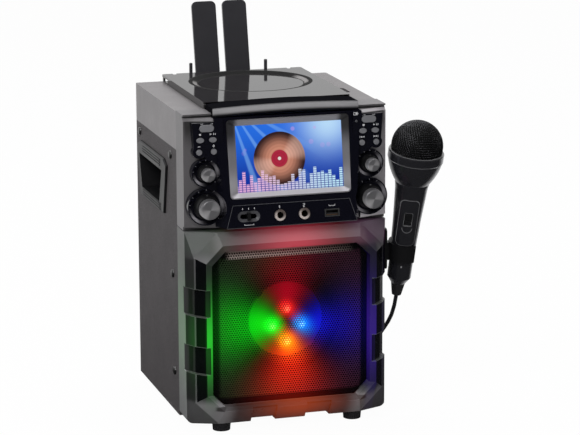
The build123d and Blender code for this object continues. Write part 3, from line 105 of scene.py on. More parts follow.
def attach(value, socket):
    """Link a field, or set a plain value, on a node's input; a colour may come without its alpha."""
    if isinstance(value, Field):
        socket.id_data.links.new(value.socket, socket)
    elif socket.type == "RGBA" and len(value) == 3:
        socket.default_value = (*value, 1)
    else:
        socket.default_value = value


def feed(node, **values):
    """Attach values to a node's inputs by name, with underscores for spaces."""
    for name, value in values.items():
        attach(value, node.inputs[name.replace("_", " ")])


def new_node(tree, kind, inputs=(), **settings):
    """A node with its settings; inputs map a socket's name or number to what it takes."""
    node = tree.nodes.new("ShaderNode" + kind)
    for name, value in settings.items():
        setattr(node, name, value)
    for key, value in dict(inputs).items():
        attach(value, node.inputs[key])
    return node


def field(tree, kind, inputs=(), output=0, **settings):
    """One output of a new node."""
    return Field(new_node(tree, kind, inputs, **settings).outputs[output])


def fields(node):
    return {socket.name: Field(socket) for socket in node.outputs}


def tree_of(*values):
    return next(value.tree for value in values if isinstance(value, Field))


def math_of(operation, *values):
    return field(tree_of(*values), "Math", enumerate(values), operation=operation)


def larger(*values):
    return reduce(lambda first, second: math_of("MAXIMUM", first, second), values)


def reach_of(across, along):
    """Distance from the origin of two axes."""
    return math_of("SQRT", across * across + along * along)


def hump(value, middle, width):
    """Smooth bell over a value: 1 at its middle, fading over its width."""
    offset = (value - middle) / width
    return math_of("POWER", e, offset * offset * -1)


def ramp(value, low, high):
    """0 below low, 1 above high, smooth between; low may be the larger."""
    inputs = {"Value": value, "From Min": low, "From Max": high}
    return field(value.tree, "MapRange", inputs, interpolation_type="SMOOTHSTEP")


def between(value, low, full, end, falling):
    """1 from full to falling, smooth down to 0 at low and at end."""
    return ramp(value, low, full) * ramp(value, end, falling)


def blend(share, first, second):
    return field(share.tree, "Mix", {0: share, 6: first, 7: second}, 2, data_type="RGBA")


def scaled(vector, amount):
    """A colour or place scaled by a mask or number."""
    return field(tree_of(amount, vector), "VectorMath", {0: vector, "Scale": amount}, operation="SCALE")


def gather(colours):
    return reduce(lambda a, b: field(a.tree, "VectorMath", {0: a, 1: b}, operation="ADD"), colours)


def place_axes(tree):
    """The piece's own coordinates in millimetres: vector, X, Y, Z."""
    place = scaled(field(tree, "TexCoord", output="Object"), 1000)
    return place, *map(Field, new_node(tree, "SeparateXYZ", {0: place}).outputs)


def noise(place, scale, detail=3, roughness=0.5):
    inputs = {"Vector": place, "Scale": scale, "Detail": detail, "Roughness": roughness}
    return field(place.tree, "TexNoise", inputs, "Fac")


def stretched(place, scale):
    return field(place.tree, "Mapping", {"Vector": place, "Scale": scale})


def bumped(height, depth):
    return field(height.tree, "Bump", {"Height": height, "Distance": depth})


def dot_along(place, way, origin):
    """Coordinate of a place along a direction from an origin, in millimetres."""
    moved = field(place.tree, "VectorMath", {0: place, 1: origin}, operation="SUBTRACT")
    return field(place.tree, "VectorMath", {0: moved, 1: way}, "Value", operation="DOT_PRODUCT")


def new_group(name, inputs, **outputs):
    """A shader node group; inputs map a name to its value, outputs a name to its kind."""
    tree = bpy.data.node_groups.new(name, "ShaderNodeTree")
    for label, value in inputs.items():
        socket = tree.interface.new_socket(label, in_out="INPUT", socket_type="NodeSocketFloat")
        socket.default_value = value
    for label, kind in outputs.items():
        tree.interface.new_socket(label, in_out="OUTPUT", socket_type="NodeSocket" + kind)
    return tree, fields(tree.nodes.new("NodeGroupInput")), tree.nodes.new("NodeGroupOutput")


def use(tree, group, **values):
    """What a node group puts out, by name."""
    return fields(new_node(tree, "Group", values, node_tree=group))


# ---- camera, lights and floor
def placed(name, data):
    """An object of the scene for some data."""
    item = bpy.data.objects.new(name, data)
    scene.collection.objects.link(item)
    return item


def with_nodes(item):
    """The emptied node tree of a world or material."""
    item.use_nodes = True
    item.node_tree.nodes.clear()
    return item.node_tree


def add_camera():
    data = bpy.data.cameras.new("camera")
    data.lens, data.sensor_width, data.clip_end = CAMERA_LENS, CAMERA_SENSOR, CAMERA_FAR
    camera = placed("camera", data)
    camera.matrix_world = Matrix.Translation(CAMERA_AT)
    for axis, degrees in CAMERA_TURNS:
        camera.matrix_world = camera.matrix_world @ Matrix.Rotation(radians(degrees), 4, axis)
    scene.camera = camera


def add_lamp(name, place, aim, size, power):
    data = bpy.data.lights.new(name, "AREA")
    data.shape = "RECTANGLE"
    data.size, data.size_y = size
    data.energy = power
    lamp = placed(name, data)
    facing = (Vector(aim) - Vector(place)).to_track_quat("-Z", "Y")
    lamp.matrix_world = Matrix.Translation(place) @ facing.to_matrix().to_4x4()
    return lamp


def add_world():
    """White backdrop for the camera, soft daylight for surfaces, a darker room in reflections."""
    scene.world = bpy.data.worlds.new("studio")
    tree = with_nodes(scene.world)
    path = fields(new_node(tree, "LightPath"))
    way = fields(new_node(tree, "SeparateXYZ", {0: field(tree, "TexCoord", output="Generated")}))
    behind = ramp(way["Y"], 0, 0.6) * ROOM_BEHIND
    right = ramp(way["X"], 0.35, 0.8) * ROOM_RIGHT
    left = ramp(way["X"], -0.4, -0.85) * ROOM_LEFT
    above = ramp(way["Z"], 0.35, 0.8) * ROOM_ABOVE
    mirrored = behind + right + (left + above) + ROOM_FRONT
    strength = path["Is Glossy Ray"] * (mirrored - DAYLIGHT) + DAYLIGHT
    clear = larger(path["Is Camera Ray"], path["Is Transmission Ray"])
    strength = clear * (1 - strength) + strength
    room = field(tree, "Background", {"Color": (1, 1, 1), "Strength": strength})
    new_node(tree, "OutputWorld", {0: room})


def add_floor():
    """White floor; reflections see it bright behind the machine and dim in front of it."""
    sheet = bmesh.new()
    for x, y in ((-6, -5), (6, -5), (6, 8), (-6, 8)):
        sheet.verts.new((x, y, -0.0002))
    sheet.faces.new(sheet.verts)
    mesh = bpy.data.meshes.new("floor")
    sheet.to_mesh(mesh)
    sheet.free()
    floor = placed("floor", mesh)
    white = bpy.data.materials.new("floor_white")
    tree = with_nodes(white)
    path = fields(new_node(tree, "LightPath"))
    seen = path["Is Camera Ray"] * 0.97 + path["Is Glossy Ray"]
    _, _, y, _ = place_axes(tree)
    mirrored = ramp(y, 100, 900) * (FLOOR_BEHIND - FLOOR_FRONT) + FLOOR_FRONT
    paint = field(tree, "BsdfDiffuse", {"Color": (0.9, 0.9, 0.9)})
    glow = field(tree, "Emission", {"Strength": larger(path["Is Camera Ray"], mirrored)})
    new_node(tree, "OutputMaterial", {0: field(tree, "MixShader", {0: seen, 1: paint, 2: glow})})
    mesh.materials.append(white)


def moulded_grain():
    """Fine spark-eroded grain of moulded plastic, with slow patches of sheen."""
    inputs = {"Grain": 2.2, "Depth": 0.00004}
    tree, given, out = new_group("Moulded grain", inputs, Normal="Vector", Sheen="Float")
    place, *_ = place_axes(tree)
    fine = noise(place, given["Grain"], 2, 0.6)
    feed(out, Normal=bumped(fine, given["Depth"]), Sheen=noise(place, 0.02, 3))
    return tree


def pebbled_vinyl():
    """Leather-like pebbles, with painted shade in their valleys."""
    inputs = {"Pebble": 0.9, "Depth": 0.00016}
    tree, given, out = new_group("Pebbled vinyl", inputs, Normal="Vector", Valley="Float", Patch="Float")
    place, *_ = place_axes(tree)
    inputs = {"Vector": place, "Scale": given["Pebble"]}
    pebble = ramp(field(tree, "TexVoronoi", inputs, "Distance", feature="DISTANCE_TO_EDGE"), 0, 0.32)
    height = pebble + noise(place, 1.4, 2) * 0.5
    feed(out, Normal=bumped(height, given["Depth"]), Valley=1 - pebble, Patch=noise(place, 0.03, 4))
    return tree


def handling():
    """Faint dust and rub marks, as a mask."""
    tree, given, out = new_group("Handling marks", {"Amount": 0.5}, Dust="Float", Rub="Float")
    place, *_ = place_axes(tree)
    cloud = ramp(noise(place, 0.035, 6, 0.65), 0.45, 0.8)
    speck = ramp(noise(place, 0.8, 2), 0.66, 0.74)
    feed(out, Dust=(cloud + speck) * given["Amount"])
    streak = ramp(noise(stretched(place, (0.6, 0.6, 0.04)), 1, 4), 0.5, 0.75)
    feed(out, Rub=streak * given["Amount"])
    return tree


def four_lights():
    """Sectors lit by the four lamps round the middle of the speaker, as masks by direction."""
    outputs = dict.fromkeys(("Left", "Right", "Below", "Above", "Distance"), "Float")
    tree, given, out = new_group("Four lights", {"Width": 0.5}, **outputs)
    width = given["Width"]
    _, x, _, z = place_axes(tree)
    drop = z - SPEAKER_Z
    angle = math_of("ARCTAN2", drop, x)
    # measured from below, so that no sector is cut by the seam of the angle
    low_angle = math_of("ARCTAN2", x, drop)
    feed(
        out, Left=hump(abs(angle), 3.1, width), Right=hump(angle, -0.08, width),
        Below=hump(abs(low_angle), 3.1, width), Above=hump(angle, 1.62, width), Distance=reach_of(x, drop),
    )
    return tree


def facing_shade():
    """Painted shade: how dark a moulded face is painted, by the way it faces on the piece."""
    inputs = {"Front": 0.5, "Up": 0.8, "Down": -0.4, "Left": -0.2, "Right": -0.6, "Shoulder": 0}
    tree, given, out = new_group("Facing shade", inputs, Value="Float")
    normal = fields(new_node(tree, "SeparateXYZ", {0: field(tree, "TexCoord", output="Normal")}))
    value = given["Front"]
    for axis, label, way in (("Z", "Up", 1), ("Z", "Down", -1), ("X", "Left", -1), ("X", "Right", 1)):
        part = larger(normal[axis] * way, 0)
        value = part * given[label] + value
    # painted highlight on faces turned halfway to the right
    half = part * (1 - part) * 4
    value = half * given["Shoulder"] + value
    feed(out, Value=larger(value, 0.04))
    return tree


def light_spill():
    """Coloured light that leaks from the grille on to the mouldings beside it, as painted light, with
    painted shade.
    """
    tree, given, out = new_group("Light spill", {"Amount": 1}, Colour="Color", Shade="Float")
    _, x, y, z = place_axes(tree)
    side = abs(x)
    drop = abs(z - SPEAKER_Z)
    front = ramp(y, -90, -107)
    lip = ramp(side, 89.5, 87)
    outward = ramp(side, 112, 88) * 0.16
    beside = larger(lip, outward) * ramp(side, 74, 81) * front
    tall = between(drop, 108, 84, 74, 80) * front
    corner = ramp(side, 50, 72) * ramp(z, SPEAKER_Z + 70, SPEAKER_Z + 84) * front
    at_left = x < 0
    at_right = x > 0
    at_top = z > SPEAKER_Z
    at_foot = z < SPEAKER_Z
    # painted light: green on the left, purple on the right, red above, orange below, faint tints in the
    # upper corners and green on the left wall
    colours = [
        scaled((0.006, 0.48, 0.012), beside * at_left * hump(z, 98, 36)),
        scaled((0.022, 0.005, 0.17), beside * at_right * hump(z, 95, 48)),
        scaled((0.42, 0.03, 0.05), tall * at_top * hump(x, 4, 40)),
        scaled((0.27, 0.03, 0.002), tall * at_foot * hump(x, 8, 38)),
        scaled((0.004, 0.014, 0.006), corner * at_left),
        scaled((0.03, 0.09, 0.03), ramp(side, 103, 103.4) * at_left * hump(z, 105, 50)),
        scaled((0.028, 0.01, 0.026), corner * at_right),
    ]
    # the floor of each notch is painted near black, and takes little of the painted spill
    steps = [(z > low) * (z < high) for low, high in NOTCHES]
    notch = (steps[0] + steps[1]) * ramp(side, 82.9, 83.3) * front
    feed(out, Colour=scaled(gather(colours), given["Amount"] * (1 - 0.85 * notch)))
    ridge = ramp(y, -109.6, -110.6)
    # painted shade: darker upper outer corners, a darker foot under the orange glow and a darker inner lip
    # on the right
    outer = ramp(side, 72, 82) * ramp(z, SPEAKER_Z + 68, SPEAKER_Z + 80) * ridge * 0.55
    foot = tall * at_foot * hump(x, 10, 40) * 0.35
    inner = at_right * ramp(side, 92, 87) * ramp(drop, 84, 74) * 0.65
    # painted light: the lower corners are painted pale, and so are the side walls down to the floor
    low_corner = ramp(side, 54, 70) * ramp(z, SPEAKER_Z - 68, SPEAKER_Z - 78)
    low_corner = low_corner * (ridge * 0.8 + 0.2) * front
    wall = ramp(side, 103, 103.4) * ramp(z, 205, 40)
    paler = low_corner * 3.2 + wall * 4
    # painted shade: the slanted faces between the walls and the black strips are painted dark, with a
    # painted highlight along their edge by the strips
    slant = ramp(side, 95.8, 96.4) * ramp(y, -97.9, -98.4) * between(z, 180, 176, 31, 36)
    edge = slant * ramp(side, 97.5, 97.2)
    # painted shade on the lower lip
    low_lip = between(z, 23.3, 24, 29, 28) * ramp(side, 80, 76) * ridge
    painted_darkening = larger(outer, foot, inner, slant * 0.6, low_lip * 0.75)
    kept = (1 - painted_darkening) * (1 + paler + edge * 4)
    feed(out, Shade=kept * (1 - 0.75 * notch))
    return tree


def step_highlights():
    """Painted highlights: thin pale lines along the edges of the notches in the frame's sides."""
    tree, given, out = new_group("Step lines", {"Thick": 0.45}, Line="Float")
    _, x, y, z = place_axes(tree)
    line = 0
    for edge in [edge for notch in NOTCHES for edge in notch]:
        off = abs(z - edge)
        line = larger(line, off < given["Thick"])
    band = ramp(abs(x), 83, 83.4) * ramp(y, -98.2, -98.8)
    feed(out, Line=line * band)
    return tree


scene.view_settings.view_transform = "Standard"
add_camera()
add_world()
add_floor()
add_lamp("key", (-1.6, -1.9, 2.2), aim=(0, 0, 0.2), size=(1.6, 1.2), power=38)
# the side lamp stays out of the lid's mirror
side_lamp = add_lamp("side", (-2.6, 0.3, 1.2), aim=(0, 0, 0.15), size=(1.2, 1.6), power=13)
side_lamp.visible_glossy = False
add_lamp("top", (0.2, 0.6, 2.6), aim=(0, 0, 0.3), size=(1.8, 1.2), power=28)

GRAIN, VINYL, MARKS = moulded_grain(), pebbled_vinyl(), handling()
LIGHTS, SPILL, FACING, STEP_HIGHLIGHTS = four_lights(), light_spill(), facing_shade(), step_highlights()


def finish(name, **settings):
    """A material with its Principled shader; settings are plain values on its sockets."""
    material = bpy.data.materials.new(name)
    material.use_nodes = True
    tree = material.node_tree
    shader = tree.nodes["Principled BSDF"]
    feed(shader, **settings)
    return material, tree, shader


def base_of(shader):
    return Field(shader.inputs["Base Color"].links[0].from_socket)


def shade(shader, colour, mask, amount):
    """Base colour that is lightened or darkened a little by a mask."""
    low, high = ([max(c * (1 + way * amount), 0) for c in colour] for way in (-1, 1))
    feed(shader, Base_Color=blend(mask, low, high))


def paint_step_highlights(shader):
    """Painted highlights: pale lines over the base colour, along the steps of the frame's sides."""
    line = use(shader.id_data, STEP_HIGHLIGHTS)["Line"]
    feed(shader, Base_Color=blend(line, base_of(shader), (0.085, 0.09, 0.085)))


def emit(shader, light, strength=1):
    feed(shader, Emission_Color=light, Emission_Strength=strength)


def moulded(
    name, colour, rough, grain=2.2, depth=0.00004, dust=0.5, spill=0, facing=None, fade=None, **settings
):
    """Moulded plastic with fine grain, slow sheen and faint handling marks; facing, fade and spill add
    painted shade and light.
    """
    material, tree, shader = finish(name, Base_Color=colour, **settings)
    surface = use(tree, GRAIN, Grain=grain, Depth=depth)
    marks = use(tree, MARKS, Amount=dust)
    shade(shader, colour, surface["Sheen"] + marks["Dust"], 0.12)
    if facing:
        # painted shade by the way each face turns, and with the spill, its painted shade and light
        shade_painted_by = use(tree, FACING, **facing)["Value"]
        if spill:
            shade_painted_by = shade_painted_by * use(tree, SPILL)["Shade"]
        _, across, deep, height = place_axes(tree)
        # painted shade: a band of the front, given by fade, is darkened
        if fade:
            low, full, end = fade
            dark = between(height, low, full, end + 0.6, end) * ramp(deep, -97.6, -99)
            shade_painted_by = shade_painted_by * (1 - 0.8 * dark)
        # painted shade: the plain side walls keep at least this share of their gray, with the spill's
        # painted shade and light on them
        wall = ramp(abs(across), 97, 97.4) * 0.3
        if spill:
            wall = wall * (1 - 0.8 * ramp(deep, -97.8, -98.4))
            wall = wall * use(tree, SPILL)["Shade"]
        feed(shader, Base_Color=scaled(base_of(shader), larger(shade_painted_by, wall)))
    if spill:
        # painted highlights along the steps of the frame
        paint_step_highlights(shader)
    sheen = surface["Sheen"] * 0.14 + rough - 0.07
    feed(shader, Roughness=marks["Rub"] * 0.08 + sheen, Normal=surface["Normal"])
    if spill:
        # painted light: the grille's coloured spill, given as emission
        emit(shader, use(tree, SPILL, Amount=spill)["Colour"])
    return material


def polished(name, colour, rough, spill=0, **settings):
    """Polished plastic: very slight waviness, fingerprints in the roughness."""
    material, tree, shader = finish(name, Base_Color=colour, **settings)
    place, *_ = place_axes(tree)
    marks = use(tree, MARKS, Amount=0.6)
    shade(shader, colour, marks["Dust"], 0.25)
    wave = noise(place, 0.05, 1)
    feed(shader, Roughness=marks["Dust"] * 0.1 + rough, Normal=bumped(wave, 0.00006))
    if spill:
        # painted highlights along the steps, and the grille's coloured spill as painted light
        paint_step_highlights(shader)
        emit(shader, use(tree, SPILL, Amount=spill)["Colour"])
    return material


def vinyl(name, colour):
    material, tree, shader = finish(name, Base_Color=colour, Specular_IOR_Level=0.4)
    surface = use(tree, VINYL)
    # painted shade in the valleys between the pebbles, over slow patches of tone
    shade(shader, colour, (1 - surface["Valley"] * 0.75) * surface["Patch"], 0.4)
    feed(shader, Roughness=surface["Valley"] * 0.2 + 0.5, Normal=surface["Normal"])
    return material


def metal(name, colour, rough, share=1):
    """Metal with a fine uneven finish."""
    material, tree, shader = finish(name, Base_Color=colour, Metallic=share)
    place, *_ = place_axes(tree)
    lines = noise(place, 1, 4, 0.6)
    shade(shader, colour, lines, 0.12)
    feed(shader, Roughness=lines * 0.18 + rough - 0.09, Normal=bumped(lines, 0.00002))
    return material


def socket_ring():
    """Plated ring of a socket: dark round its rim and above, with a painted reflection as a bright
    crescent below.
    """
    material, tree, shader = finish("socket_ring", Metallic=0.45)
    place, x, _, z = place_axes(tree)
    across = (abs(x) - JACK_AT[0]) * math_of("SIGN", x)
    rise = z - JACK_AT[1]
    reach = reach_of(across, rise)
    lean = (across * -0.5 + rise * -0.86) / reach
    # painted reflection: a bright crescent low on each ring
    bright = ramp(lean, -0.9, 0.8) * ramp(reach, 6.2, 5)
    lines = noise(place, 1, 4, 0.6)
    plain = blend(lines, (0.15, 0.12, 0.11), (0.19, 0.15, 0.14))
    feed(
        shader, Base_Color=blend(bright, plain, (0.9, 0.79, 0.75)), Roughness=lines * 0.18 + 0.21,
        Normal=bumped(lines, 0.00002),
    )
    return material


def lid_gloss():
    """Dark gloss of the lid, with painted shade black round the dish and painted pale gleams where the
    wall turns.
    """
    material, tree, shader = finish("lid_gloss", Roughness=0.05, Specular_IOR_Level=LID_SHINE)
    _, x, y, z = place_axes(tree)
    marks = use(tree, MARKS, Amount=0.6)
    off_x, off_y = x - DISC[0], y - DISC[1]
    reach = reach_of(off_x, off_y)
    # painted shade black on the dish's wall, with painted pale gleams where it turns to the sides
    wall = between(reach, 53.8, 54.6, 64, 63.2)
    sideways = ramp(abs(off_x) / reach, 0.9, 0.985)
    gleam = sideways * between(reach, 54.6, 55.4, 60, 58.6)
    plain = blend(marks["Dust"], (0.028, 0.026, 0.028), (0.04, 0.038, 0.04))
    ringed = blend(wall, plain, (0.002, 0.002, 0.002))
    ringed = blend(gleam, ringed, (0.3, 0.29, 0.29))
    # painted shade: the skirts under the top are painted black
    skirts = ramp(z, 325.7, 325.2) * ramp(reach, 63, 64)
    dark = blend(skirts, ringed, (0.001, 0.001, 0.001))
    # painted highlight: a thin pale line runs along the front skirt
    line = between(z, 323, 323.4, 324.2, 323.8) * ramp(off_y, -90, -100)
    rough = marks["Dust"] * 0.08 + (wall * 0.9 + 0.05)
    feed(shader, Base_Color=blend(line, dark, (0.13, 0.125, 0.13)), Roughness=rough)
    return material


# ---- finishes
BODY_VINYL = vinyl("textured_vinyl", (0.08, 0.072, 0.076))
# facing and fade set painted shade by the way faces turn; spill sets the grille's painted light
HOUSING = moulded(
    "satin_housing", (0.175, 0.165, 0.17), 0.42, dust=0.8,
    facing=dict(Front=1, Up=0.3, Left=0, Right=0),
)
FRONT = moulded(
    "front_moulding", (0.1, 0.095, 0.1), 0.36, grain=3, fade=(282, 312, 313.2),
    facing=dict(Front=0.95, Up=0.9, Left=0.15, Right=0, Shoulder=4.5),
)
FRAME = moulded(
    "frame_moulding", (0.12, 0.118, 0.122), 0.3, grain=3, spill=1, Specular_IOR_Level=0.3,
    facing=dict(Front=0.32, Up=1.2, Down=0.1, Left=-0.05, Right=-0.3),
)
DARK = moulded("dark_moulding", (0.042, 0.041, 0.047), 0.36)
BLACK = moulded("black_moulding", (0.006, 0.006, 0.007), 0.38, Specular_IOR_Level=0.3)
GUARD = polished("guard_gloss", (0.003, 0.003, 0.004), 0.12, spill=0.14, Specular_IOR_Level=0.1)
LID = lid_gloss()
KEYS = moulded("key_gray", (0.18, 0.18, 0.195), 0.34, dust=0.2)
FOOT = moulded("foot_rubber", (0.017, 0.016, 0.018), 0.26, grain=1.5)
RUBBER = moulded("soft_rubber", (0.018, 0.017, 0.018), 0.4, grain=1.5, depth=0.00008)
JACKET = moulded("cord_jacket", (0.012, 0.012, 0.016), 0.42, grain=1.2)
SCREWS = metal("screw_black", (0.1, 0.1, 0.1), 0.35)
STEEL = metal("plated_steel", (0.5, 0.5, 0.52), 0.34)
CHROME = socket_ring()
SHELL = metal("socket_shell", (0.07, 0.07, 0.072), 0.3, share=0.45)
BRASS = metal("contact_brass", (0.68, 0.42, 0.26), 0.3)
WIRE = metal("mesh_wire", (0.075, 0.075, 0.08), 0.28)
FOAM = moulded("foam", (0.004, 0.004, 0.004), 0.9, grain=1, depth=0.0003)
WHITE_INK = moulded("white_ink", (0.55, 0.55, 0.57), 0.5)
TICK_INK = moulded("tick_ink", (0.16, 0.16, 0.175), 0.5)
DARK_GRAY = moulded("dark_gray", (0.07, 0.07, 0.078), 0.4)
RED_PLASTIC = moulded("red_plastic", (0.5, 0.02, 0.02), 0.35)
WHITE_PLASTIC = moulded("white_plastic", (0.7, 0.7, 0.68), 0.35)
WRAP = polished("battery_wrap", (0.02, 0.09, 0.24), 0.3)
BOARD_GREEN = moulded("solder_resist", (0.01, 0.08, 0.03), 0.3, grain=0.6)


def lamp_light(tree, colours, width, fall, strength=1):
    """Light of the four sectors: left, right, below, above, fading by distance."""
    lights = use(tree, LIGHTS, Width=width)
    reached = fall(lights["Distance"])
    sectors = []
    for label, colour in zip(("Left", "Right", "Below", "Above"), colours):
        sectors.append(scaled([strength * c for c in colour], lights[label] * reached))
    return gather(sectors)


GLOW = ((0, 0.5, 0.005), (0.004, 0.002, 0.34), (0.86, 0.022, 0.004), (0.2, 0, 0.004))
COVER_GLOW = ((0.003, 0.62, 0.003), (0.003, 0.005, 0.56), (0.93, 0.055, 0.003), (0.31, 0, 0.008))
COVER_R = 38.4
COVER_WIDTH, ARM_WIDTH = 0.5, 0.43
LED_PLACES = (
    (0, 11.7, (1, 0.02, 0.008)),
    (-15.3, -5.3, (0.01, 1, 0.02)),
    (15.3, -5.3, (0.004, 0.36, 1)),
    (0, -22.3, (1, 0.46, 0.002)),
)


def on_cover(reach):
    """Mask by distance for the round cover of the light unit."""
    return between(reach, COVER_R, COVER_R - 1.2, 0, 15)


def round_cover(tree, inner=0):
    """Mask by distance for what lies round the cover, fading outwards and kept to the front."""
    _, x, y, _ = place_axes(tree)
    within = ramp(abs(x), 74, 66) * ramp(y, -60, -74)
    return lambda reach: between(reach, 112, 34, inner - 1, inner) * within


def lamp_halos(tree, width, strength):
    """Round glow about each of the four lamps."""
    _, x, _, z = place_axes(tree)
    drop = z - SPEAKER_Z
    glows = []
    for at_x, at_z, colour in LED_PLACES:
        away = reach_of(x - at_x, drop - at_z)
        glows.append(scaled([strength * c for c in colour], hump(away, 0, width)))
    return gather(glows)


def glowing(name, colour, rough):
    """Dark surface behind the grille with the lamps' coloured light painted on it as emission, stronger
    near the middle.
    """
    material, tree, shader = finish(name, Base_Color=colour, Roughness=rough, Specular_IOR_Level=0.1)
    feed(shader, Normal=use(tree, GRAIN, Grain=1.4, Depth=0.00008)["Normal"])
    # painted light: the lamps' coloured light given as emission
    emit(shader, lamp_light(tree, GLOW, ARM_WIDTH, round_cover(tree), 0.08))
    return material


def lamp_cover():
    """Round cover of the light unit: four coloured sectors, a glow round each lamp, and painted light on
    the arms.
    """
    material, tree, shader = finish(
        "lamp_cover", Base_Color=(0.004, 0.004, 0.004), Roughness=0.25, Specular_IOR_Level=0.1
    )
    sectors = lamp_light(tree, COVER_GLOW, COVER_WIDTH, on_cover)
    # painted light on the arms, given as emission
    arms = lamp_light(tree, GLOW, ARM_WIDTH, round_cover(tree, COVER_R), 0.1)
    emit(shader, gather([sectors, arms, lamp_halos(tree, 6.4, 2)]))
    return material


def lit_sheet():
    """Black perforated sheet whose wires carry the light of the lamps behind it as painted light."""
    material, tree, shader = finish("black_sheet", Roughness=0.4, Specular_IOR_Level=0.05)
    _, x, _, z = place_axes(tree)
    rise = z - GRILLE_MID
    # painted highlight: the bevelled border stays dark, but for its upper run, painted pale where it
    # catches the room's light
    flat = ramp(abs(x), 74.5, 71) * ramp(abs(rise), 72.5, 69)
    upper = ramp(rise, 69.4, 70.6) * ramp(abs(x), 67, 60) * ramp(x, 90, -20)
    edge = flat * 0.75 + 0.25
    out = reach_of(x, rise)
    # painted light: away from the lamps the wires are tinted green on the left and purple on the right
    away_from_lamps = flat * ramp(out, 42, 84)
    spill_tinted_wires = blend(ramp(x, -25, 25), (0.022, 0.036, 0.019), (0.042, 0.015, 0.026))
    wires = blend(away_from_lamps, (0.006, 0.006, 0.007), spill_tinted_wires)
    feed(
        shader, Base_Color=blend(upper, wires, (0.36, 0.3, 0.27)),
        Normal=use(tree, GRAIN, Grain=3.5)["Normal"],
    )

    def close(reach):
        return between(reach, 46, 28, 3, 15)

    def spread(reach):
        return between(reach, 112, 34, 24, 44) * edge

    # painted light: the lamps' glow, and a halo round each lamp, given as emission on the wires
    near = lamp_light(tree, COVER_GLOW, COVER_WIDTH, close)
    far = lamp_light(tree, GLOW, ARM_WIDTH, spread, 1.15)
    emit(shader, gather([near, far, lamp_halos(tree, 8, 0.5)]))
    return material


def lamp_domes():
    material, tree, shader = finish("lamp_dome", Base_Color=(0.04, 0.04, 0.04), Roughness=0.12)
    _, x, _, z = place_axes(tree)
    drop = z - SPEAKER_Z
    parts = []
    for at_x, at_z, colour in LED_PLACES:
        near = hump(x, at_x, 6.4) * hump(drop, at_z, 6.4)
        core = hump(x, at_x, 2.4) * hump(drop, at_z, 2.4)
        parts.append(scaled(tuple(2 * c + 0.02 for c in colour), near))
        parts.append(scaled((0.4, 0.35, 0.15), core))
    emit(shader, gather(parts))
    return material


BACKING = glowing("lit_backing", (0.008, 0.008, 0.01), 0.6)
CONE = glowing("lit_cone", (0.008, 0.008, 0.01), 0.7)
COVER, DOMES, SHEET_BLACK = lamp_cover(), lamp_domes(), lit_sheet()


SCREEN_HALF = 64.8
COLUMNS, LAYERS = 17, 30


def screen_picture():
    """Stage picture on the screen: beams, soft lights, a big warm record and level bars."""
    material, tree, shader = finish("screen_picture", Base_Color=(0.002, 0.002, 0.004), Roughness=0.12)
    _, x, y, z = place_axes(tree)
    u = (x - 1.5) / SCREEN_HALF
    rise = (z - PANEL_AT.z) * PANEL_UP.z
    lean = (y - PANEL_AT.y) * PANEL_UP.y
    v = (rise + lean) / SCREEN_HALF
    sky = blend(ramp(v, -0.6, 0.6), (0.004, 0.02, 0.3), (0.02, 0.16, 0.78))
    glare = hump(u, 0.62, 0.4) * hump(v, 0.5, 0.4)
    sky = blend(glare * 0.9, sky, (0.55, 0.8, 1))
    # beams that fan out from above the left corner
    fan = math_of("ARCTAN2", 0.9 - v, u + 0.95)
    beam = ramp(math_of("SINE", fan * 26), 0.35, 1)
    sky = blend(beam * ramp(u, 0.7, -0.6) * 0.4, sky, (0.25, 0.55, 1))
    # soft round lights
    inputs = {"Vector": field(tree, "CombineXYZ", {0: u, 1: v}), "Scale": 5.5}
    spots = field(tree, "TexVoronoi", inputs, "Distance")
    soft = ramp(spots, 0.24, 0.18) * ramp(v, -0.1, 0.4) * 0.4
    sky = blend(soft, sky, (0.62, 0.35, 0.8))
    # warm record
    off_u, off_v = u + 0.16, v + 0.02
    away = reach_of(off_u, off_v)
    groove = math_of("SINE", away * 130) * 0.06 + 0.94
    around = math_of("ARCTAN2", off_v, off_u)
    gleam = ramp(math_of("SINE", around * 2 + 0.6), 0.2, 1)
    warm = blend(ramp(away, 0.4, 0.14), (0.03, 0.012, 0.012), (0.62, 0.26, 0.17))
    warm = blend(gleam * 0.5, warm, (0.85, 0.52, 0.42))
    warm = blend(ramp(away, 0.135, 0.125), warm, (0.42, 0.02, 0.05))
    warm = blend(ramp(away, 0.03, 0.022), warm, (0.8, 0.75, 0.7))
    picture = blend(ramp(away, 0.41, 0.4), sky, scaled(warm, groove))
    # level bars along the foot
    column = math_of("FLOOR", u * COLUMNS)
    top = field(tree, "TexWhiteNoise", {"W": column}, "Value", noise_dimensions="1D") * 0.26 - 0.42
    gaps = ramp(math_of("FRACT", u * COLUMNS), 0.15, 0.2) * (math_of("FRACT", v * LAYERS) > 0.25)
    bar = (v < top) * gaps
    glint = blend(ramp(u, -0.8, 0.8), (0.9, 0.5, 0.75), (0.6, 0.9, 1))
    picture = blend(bar * 0.85, picture, glint)
    emit(shader, picture, 0.95)
    return material


def visor_painted_gloss():
    """Gloss roll over the screen, its gloss a painted highlight: the pale band that runs along its front.
    """
    material, tree, shader = finish("visor_painted_gloss", Roughness=0.3, Specular_IOR_Level=0)
    _, x, y, z = place_axes(tree)
    # the roll is bowed, so the painted highlight follows its arc
    height = x * x * 0.0005 + z
    forward = x * x * -0.0007 + y
    lit = between(height, 319.8, 323.4, 328.2, 325.8)
    band = ramp(forward, -102.2, -104.2) * lit
    marks = use(tree, MARKS, Amount=0.5)
    # colour of the painted highlight, varied by dust
    pale = blend(marks["Dust"], (0.34, 0.335, 0.345), (0.4, 0.39, 0.4))
    feed(
        shader, Base_Color=blend(band, (0.008, 0.008, 0.01), pale),
        Normal=use(tree, GRAIN, Grain=3)["Normal"],
    )
    return material


